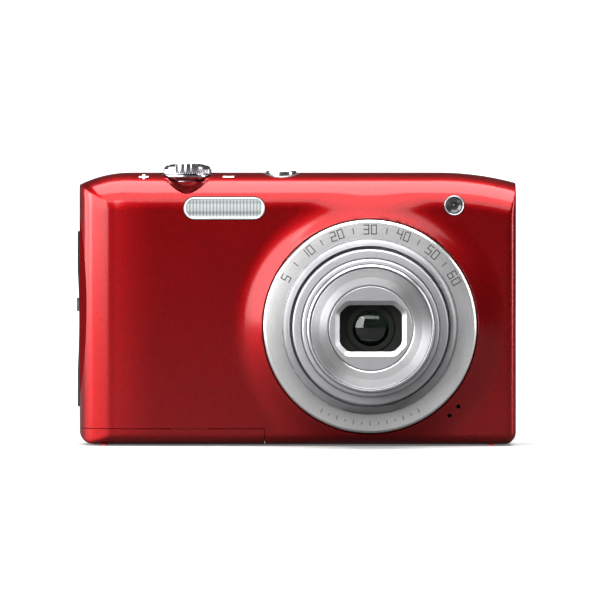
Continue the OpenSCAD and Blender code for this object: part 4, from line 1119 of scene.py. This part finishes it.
# Plus and minus signs stand for the two ends of the zoom, on the rounding beside the lever.
def on_round(x, z):
    """A frame on the front rounding: local z out of the surface, local y up the surface."""
    away = BODY_H - z
    lean = math.asin(max(0.0, 1 - away / TOP_ROUND))
    return Matrix.Translation(place(x, front_depth(z), z)) @ Matrix.Rotation(math.pi / 2 - lean, 4, "X")


MARK_Z = 57.35
plus = bars("zoom_plus", [(0, 0, 2.0, 0.5, 0), (0, 0, 0.5, 2.0, 0)], on_round(-33.0, MARK_Z), -0.06, 0.02, M["white"])
minus = bars("zoom_minus", [(0, 0, 2.4, 0.5, 0)], on_round(-14.8, MARK_Z), -0.06, 0.02, M["white"])
for piece in (plus, minus):
    seat(piece, "camera_body", "silver_trim")

# ---- Rear controls ---------------------------------------------------------------------


def rear_key(name, node, r, proud, cap_d, hollow=0.12):
    x, _, z = middle(node)
    obj = turned(name, [
        (0, cap_d), (r + 0.5, cap_d), (r + 0.5, cap_d - 0.45), (r, cap_d - 0.45), (r, -proud + 0.12),
        (r - 0.14, -proud + 0.01), (r * 0.6, -proud + hollow * 0.6), (0, -proud + hollow),
    ], axis_forward(x, z), M["black"], 96, closed=False, soft=0.06)
    return seat(obj, node, "black_gloss", node)


KEY_R, KEY_PROUD, KEY_CAP_D = 2.6, 0.3, 1.8
for word in ("playback", "display", "menu"):
    rear_key(f"{word}_key", f"{word}_button", KEY_R, KEY_PROUD, KEY_CAP_D)


def rear_mark(name, rects, x, z, body, depth=-0.24):
    flip = axis_forward(x, z) @ Matrix.Rotation(math.pi, 4, "Y")
    obj = bars(name, rects, flip, -depth - 0.04, -depth + 0.012, M["white"])
    return seat(obj, body, "black_gloss")


SIGNS = {
    "playback": [(-0.25, 0.42, 1.5, 0.2, -30), (-0.25, -0.42, 1.5, 0.2, 30), (-0.9, 0, 0.2, 1.7, 0)],
    "display": [(0, 0.55, 1.7, 0.2, 0), (0, -0.55, 1.7, 0.2, 0), (-0.8, 0, 0.2, 1.2, 0), (0.8, 0, 0.2, 1.2, 0)],
    "menu": [(0, 0.5, 1.5, 0.2, 0), (0, 0, 1.5, 0.2, 0), (0, -0.5, 1.5, 0.2, 0)],
}
for word, rects in SIGNS.items():
    spot = KEYS[f"{word}_button"]
    rear_mark(f"{word}_mark", rects, spot[0], spot[2], f"{word}_button")

ring4 = turned("selector_dial", [
    (4.5, 1.6), (9.2, 1.6), (9.2, -0.1), (8.95, -0.42), (8.5, -0.49), (6.4, -0.36), (5.0, -0.47), (4.5, -0.2),
], axis_forward(SELECTOR[0], SELECTOR[2]), M["chrome"], 192, soft=0.12)
seat(ring4, "selector_ring", "chrome", "selector_ring")
for i in range(4):
    turn = Matrix.Rotation(math.pi / 2 * i, 4, "Z")
    flip = axis_forward(SELECTOR[0], SELECTOR[2]) @ Matrix.Rotation(math.pi, 4, "Y") @ turn
    dots = bars(f"selector_mark_{i}", [(0, 7.3, 0.9, 0.22, 35), (0, 7.3, 0.9, 0.22, -35)], flip, 0.3, 0.46, M["ink"])
    seat(dots, "selector_ring", "black_matte")
set_key = turned("set_key", [
    (0, 3.4), (2.5, 3.4), (2.5, 1.3), (3.9, 1.3), (3.9, -0.12), (3.75, -0.29), (2.2, -0.22), (0, -0.16),
], axis_forward(SELECTOR[0], SELECTOR[2]), M["black"], 128, closed=False, soft=0.08)
seat(set_key, "set_button", "black_gloss", "set_button")
rear_mark("set_mark", [(0, 0, 0.5, 0.5, 45)], SELECTOR[0], SELECTOR[2], "set_button", -0.17)


def slide_knob():
    """The mode switch: a capsule with grip ridges on its base plate."""
    outline = capsule_outline(5, 2.4)
    matrix = axis_forward(SWITCH[0], SWITCH[2])
    knob = prism(softened(outline, 0.1, 2), -0.16, 1.8, matrix, "switch_knob", M["black"], 50)
    base = prism(softened([(-6.7, -2), (6.7, -2), (6.7, 2), (-6.7, 2)], 0.4, 3), 1.35, 1.8, matrix, "switch_knob",
                 M["black"])
    ridges = [prism(softened([(x - 0.13, -0.8), (x + 0.13, -0.8), (x + 0.13, 0.8), (x - 0.13, 0.8)], 0.08, 2),
                    -0.3, 0.2, matrix, "switch_knob", M["black"]) for x in (-1.4, -0.7, 0, 0.7, 1.4)]
    return joined("switch_knob", [knob, base] + ridges)


seat(slide_knob(), "mode_switch", "black_gloss", "mode_switch")

# ---- Screen ----------------------------------------------------------------------------
lw, lh = (lcd_hi[0] - lcd_lo[0]) / 2, (lcd_hi[2] - lcd_lo[2]) / 2
lcd_axis = axis_forward((lcd_lo[0] + lcd_hi[0]) / 2, (lcd_lo[2] + lcd_hi[2]) / 2)
outline = softened([(-lw, -lh), (lw, -lh), (lw, lh), (-lw, lh)], 0.5, 4)
window = prism(outline, 0.02, lcd_hi[1], lcd_axis, "screen_window", M["screen"], 50)
bm = bmesh.new()
bm.from_mesh(window.data)
rims = [e for e in bm.edges if abs(e.verts[0].co.z - 0.02 * MM) < 1e-7 and abs(e.verts[1].co.z - 0.02 * MM) < 1e-7]
bmesh.ops.bevel(bm, geom=rims, offset=0.18 * MM, segments=3, affect="EDGES", profile=0.5)
bm.to_mesh(window.data)
bm.free()
seat(window, "camera_body", "screen", "lcd_window")
aw, ah = lw - 4.2, lh - 4.0
active = prism(softened([(-aw, -ah), (aw, -ah), (aw, ah), (-aw, ah)], 0.3, 3), 0.012, 0.06, lcd_axis,
               "screen_area", M["sensor"], 50)
seat(active, "camera_body", "screen")

# ---- Screws ----------------------------------------------------------------------------


def screw(name, matrix):
    """A countersunk head with a cross recess, on a plain shank."""
    head = turned(name, [(0, 2.6), (0.6, 2.6), (0.7, 2.4), (0.7, 0.6), (1.3, 0.6), (1.3, 0.12), (1.15, 0.0),
                         (0, 0.0)], matrix, M["steel"], 64, closed=False, soft=0.04)
    cross = []
    for turn in (0, math.pi / 2):
        outline = [(-0.75, -0.14), (0.75, -0.14), (0.75, 0.14), (-0.75, 0.14)]
        cross.append(prism(outline, -0.2, 0.35, matrix @ Matrix.Rotation(turn, 4, "Z")))
    return carve(head, cross)


SCREWS_BASE, SCREWS_SIDE, SCREW_D = (10.0, 35.0), (12.0, 46.0), 5.0
made = [screw("screw_heads", Matrix.Translation(place(x, SCREW_D, 0.02))) for x in SCREWS_BASE]
face_right = Matrix.Rotation(-math.pi / 2, 4, "Y")
made += [screw("screw_heads", Matrix.Translation(place(RIGHT - 0.02, SCREW_D, z)) @ face_right)
         for z in SCREWS_SIDE]
heads = joined("screw_heads", made)
heads.data.materials.clear()
heads.data.materials.append(M["steel"])
seat(heads, "camera_body", "steel", "case_screws")

# ---- CAD nodes that keep their own shape -----------------------------------------------
KEPT = {
    "side_panel": "black", "strap_bar": "chrome", "usb_connector": "steel", "base_foot": "foot", "door_foot": "foot",
    "tripod_socket": "steel", "flash_tube": "clear", "flash_capacitor": "matte", "microphone": "baffle",
    "lcd_panel": "steel", "chassis": "steel", "main_board": "board", "battery": "sleeve", "battery_case": "matte",
    "memory_card": "card", "card_socket": "steel", "fixed_barrel": "matte", "guide_rods": "steel",
    "image_sensor": "sensor", "sensor_board": "board", "zoom_motor": "steel", "focus_motor": "steel",
    "drive_ring": "matte", "upper_blade": "baffle", "lower_blade": "baffle", "shutter_unit": "baffle",
    "second_lens": "lens", "focus_holder": "baffle", "focus_lens": "lens", "door_frame": "steel",
    "battery_latch": "amber", "selector_plate": "matte", "connector_cover": "matte",
}
SOFT_EDGE = {
    "side_panel": 0.25, "strap_bar": 0.3, "base_foot": 0.1, "door_foot": 0.1, "connector_cover": 0.15,
    "battery": 0.3, "memory_card": 0.2, "door_frame": 0.08, "battery_latch": 0.12, "tripod_socket": 0.12,
}
for name, key_name in KEPT.items():
    obj = nodes[name]
    obj.data.materials.clear()
    obj.data.materials.append(M[key_name])
    if name in SOFT_EDGE:
        soft = obj.modifiers.new("edges", "BEVEL")
        soft.width = SOFT_EDGE[name] * MM
        soft.segments = 3
        soft.limit_method = "ANGLE"
        soft.angle_limit = math.radians(40)

# ---- Stage, light and camera -----------------------------------------------------------


def stage():
    g = Graph("stage_white")
    grain = g.noise(g.coords(), 40, 4.0, 0.5)
    path = g.add("ShaderNodeLightPath")
    mirrored = path.outputs["Is Glossy Ray"]
    # In reflections the floor's colour and glow drop to a dark grey: painted shade that darkens its reflection on the
    # camera. Seen by the camera, the far floor glows evenly white.
    plain = g.blend(grain, (0.26, 0.26, 0.26), (0.28, 0.28, 0.28))
    g.join(g.blend(mirrored, plain, (0.07, 0.07, 0.07)), g.shader.inputs["Base Color"])
    seen = g.math("MULTIPLY", path.outputs["Is Camera Ray"], g.ramp(g.radius(), 350, 1100, 0.0, 1.0))
    glow = g.math("ADD", g.ramp(mirrored, 0.0, 1.0, 0.12, 0.03), seen)
    g.join(glow, g.shader.inputs["Emission Strength"])
    g.join(g.ramp(grain, 0.3, 0.7, 0.75, 0.85), g.shader.inputs["Roughness"])
    g.set(g.shader, Emission_Color=(1, 1, 1, 1))
    out, height, bend, count = 2.8, 2.6, 0.6, 96
    profile = [(0.05, 0.0), (1.0, 0.0)]
    for k in range(17):
        a = math.pi / 2 * k / 16
        profile.append((out - bend + bend * math.sin(a), bend - bend * math.cos(a)))
    profile.append((out, height))
    verts = [(r * math.cos(2 * math.pi * k / count), r * math.sin(2 * math.pi * k / count), z)
             for r, z in profile for k in range(count)]
    faces = [(m * count + k, (m + 1) * count + k, (m + 1) * count + (k + 1) % count, m * count + (k + 1) % count)
             for m in range(len(profile) - 1) for k in range(count)]
    faces.append(list(range(count)))
    mesh = bpy.data.meshes.new("stage_sweep")
    mesh.from_pydata(verts, [], faces)
    mesh.shade_smooth()
    obj = bpy.data.objects.new("stage_sweep", mesh)
    bpy.context.scene.collection.objects.link(obj)
    mesh.materials.append(g.mat)


stage()


def softbox(name, size, spot, aim, power, color=(1, 1, 1)):
    data = bpy.data.lights.new(name, "AREA")
    data.shape = "RECTANGLE"
    data.size, data.size_y = size
    data.energy = power
    data.color = color
    obj = bpy.data.objects.new(name, data)
    bpy.context.scene.collection.objects.link(obj)
    obj.location = spot
    obj.rotation_euler = (Vector(aim) - Vector(spot)).to_track_quat("-Z", "Y").to_euler()
    obj.visible_camera = False
    return obj


CENTRE = place(0, 10, BODY_H / 2)
softbox("light_top", (1.3, 0.9), (0.0, -0.22, 1.05), CENTRE, 42)
softbox("light_brow", (1.1, 0.6), (0.0, -0.95, 0.8), CENTRE, 9)
softbox("light_left", (1.7, 0.8), (-1.0, -0.75, 0.4), CENTRE, 36)
softbox("light_side", (0.8, 0.8), (-1.25, 0.05, 0.35), CENTRE, 16)
softbox("light_right", (0.25, 0.9), (1.15, -0.3, 0.35), CENTRE, 9)
back = softbox("light_back", (2.4, 0.8), (0.0, 0.7, 1.3), (0, 1.5, 0.05), 60)
back.visible_glossy = False

world = bpy.data.worlds.new("studio")
bpy.context.scene.world = world
world.use_nodes = True
world.node_tree.nodes["Background"].inputs["Color"].default_value = (0.9, 0.93, 0.96, 1)
world.node_tree.nodes["Background"].inputs["Strength"].default_value = 0.14

SENSOR, FOCAL, DISTANCE, TILT = 36.0, 420.0, 1.5, math.radians(1.2)
AIM = place(0.56, 17.0, 30.96)
camera_data = bpy.data.cameras.new("camera")
camera_data.lens = FOCAL
camera_data.sensor_width = SENSOR
camera_data.clip_start = 0.05
camera_data.clip_end = 20
camera = bpy.data.objects.new("camera", camera_data)
bpy.context.scene.collection.objects.link(camera)
camera.location = AIM + Vector((0, -math.cos(TILT), math.sin(TILT))) * DISTANCE
camera.rotation_euler = (AIM - camera.location).to_track_quat("-Z", "Y").to_euler()
bpy.context.scene.camera = camera
bpy.context.scene.view_settings.view_transform = "Standard"
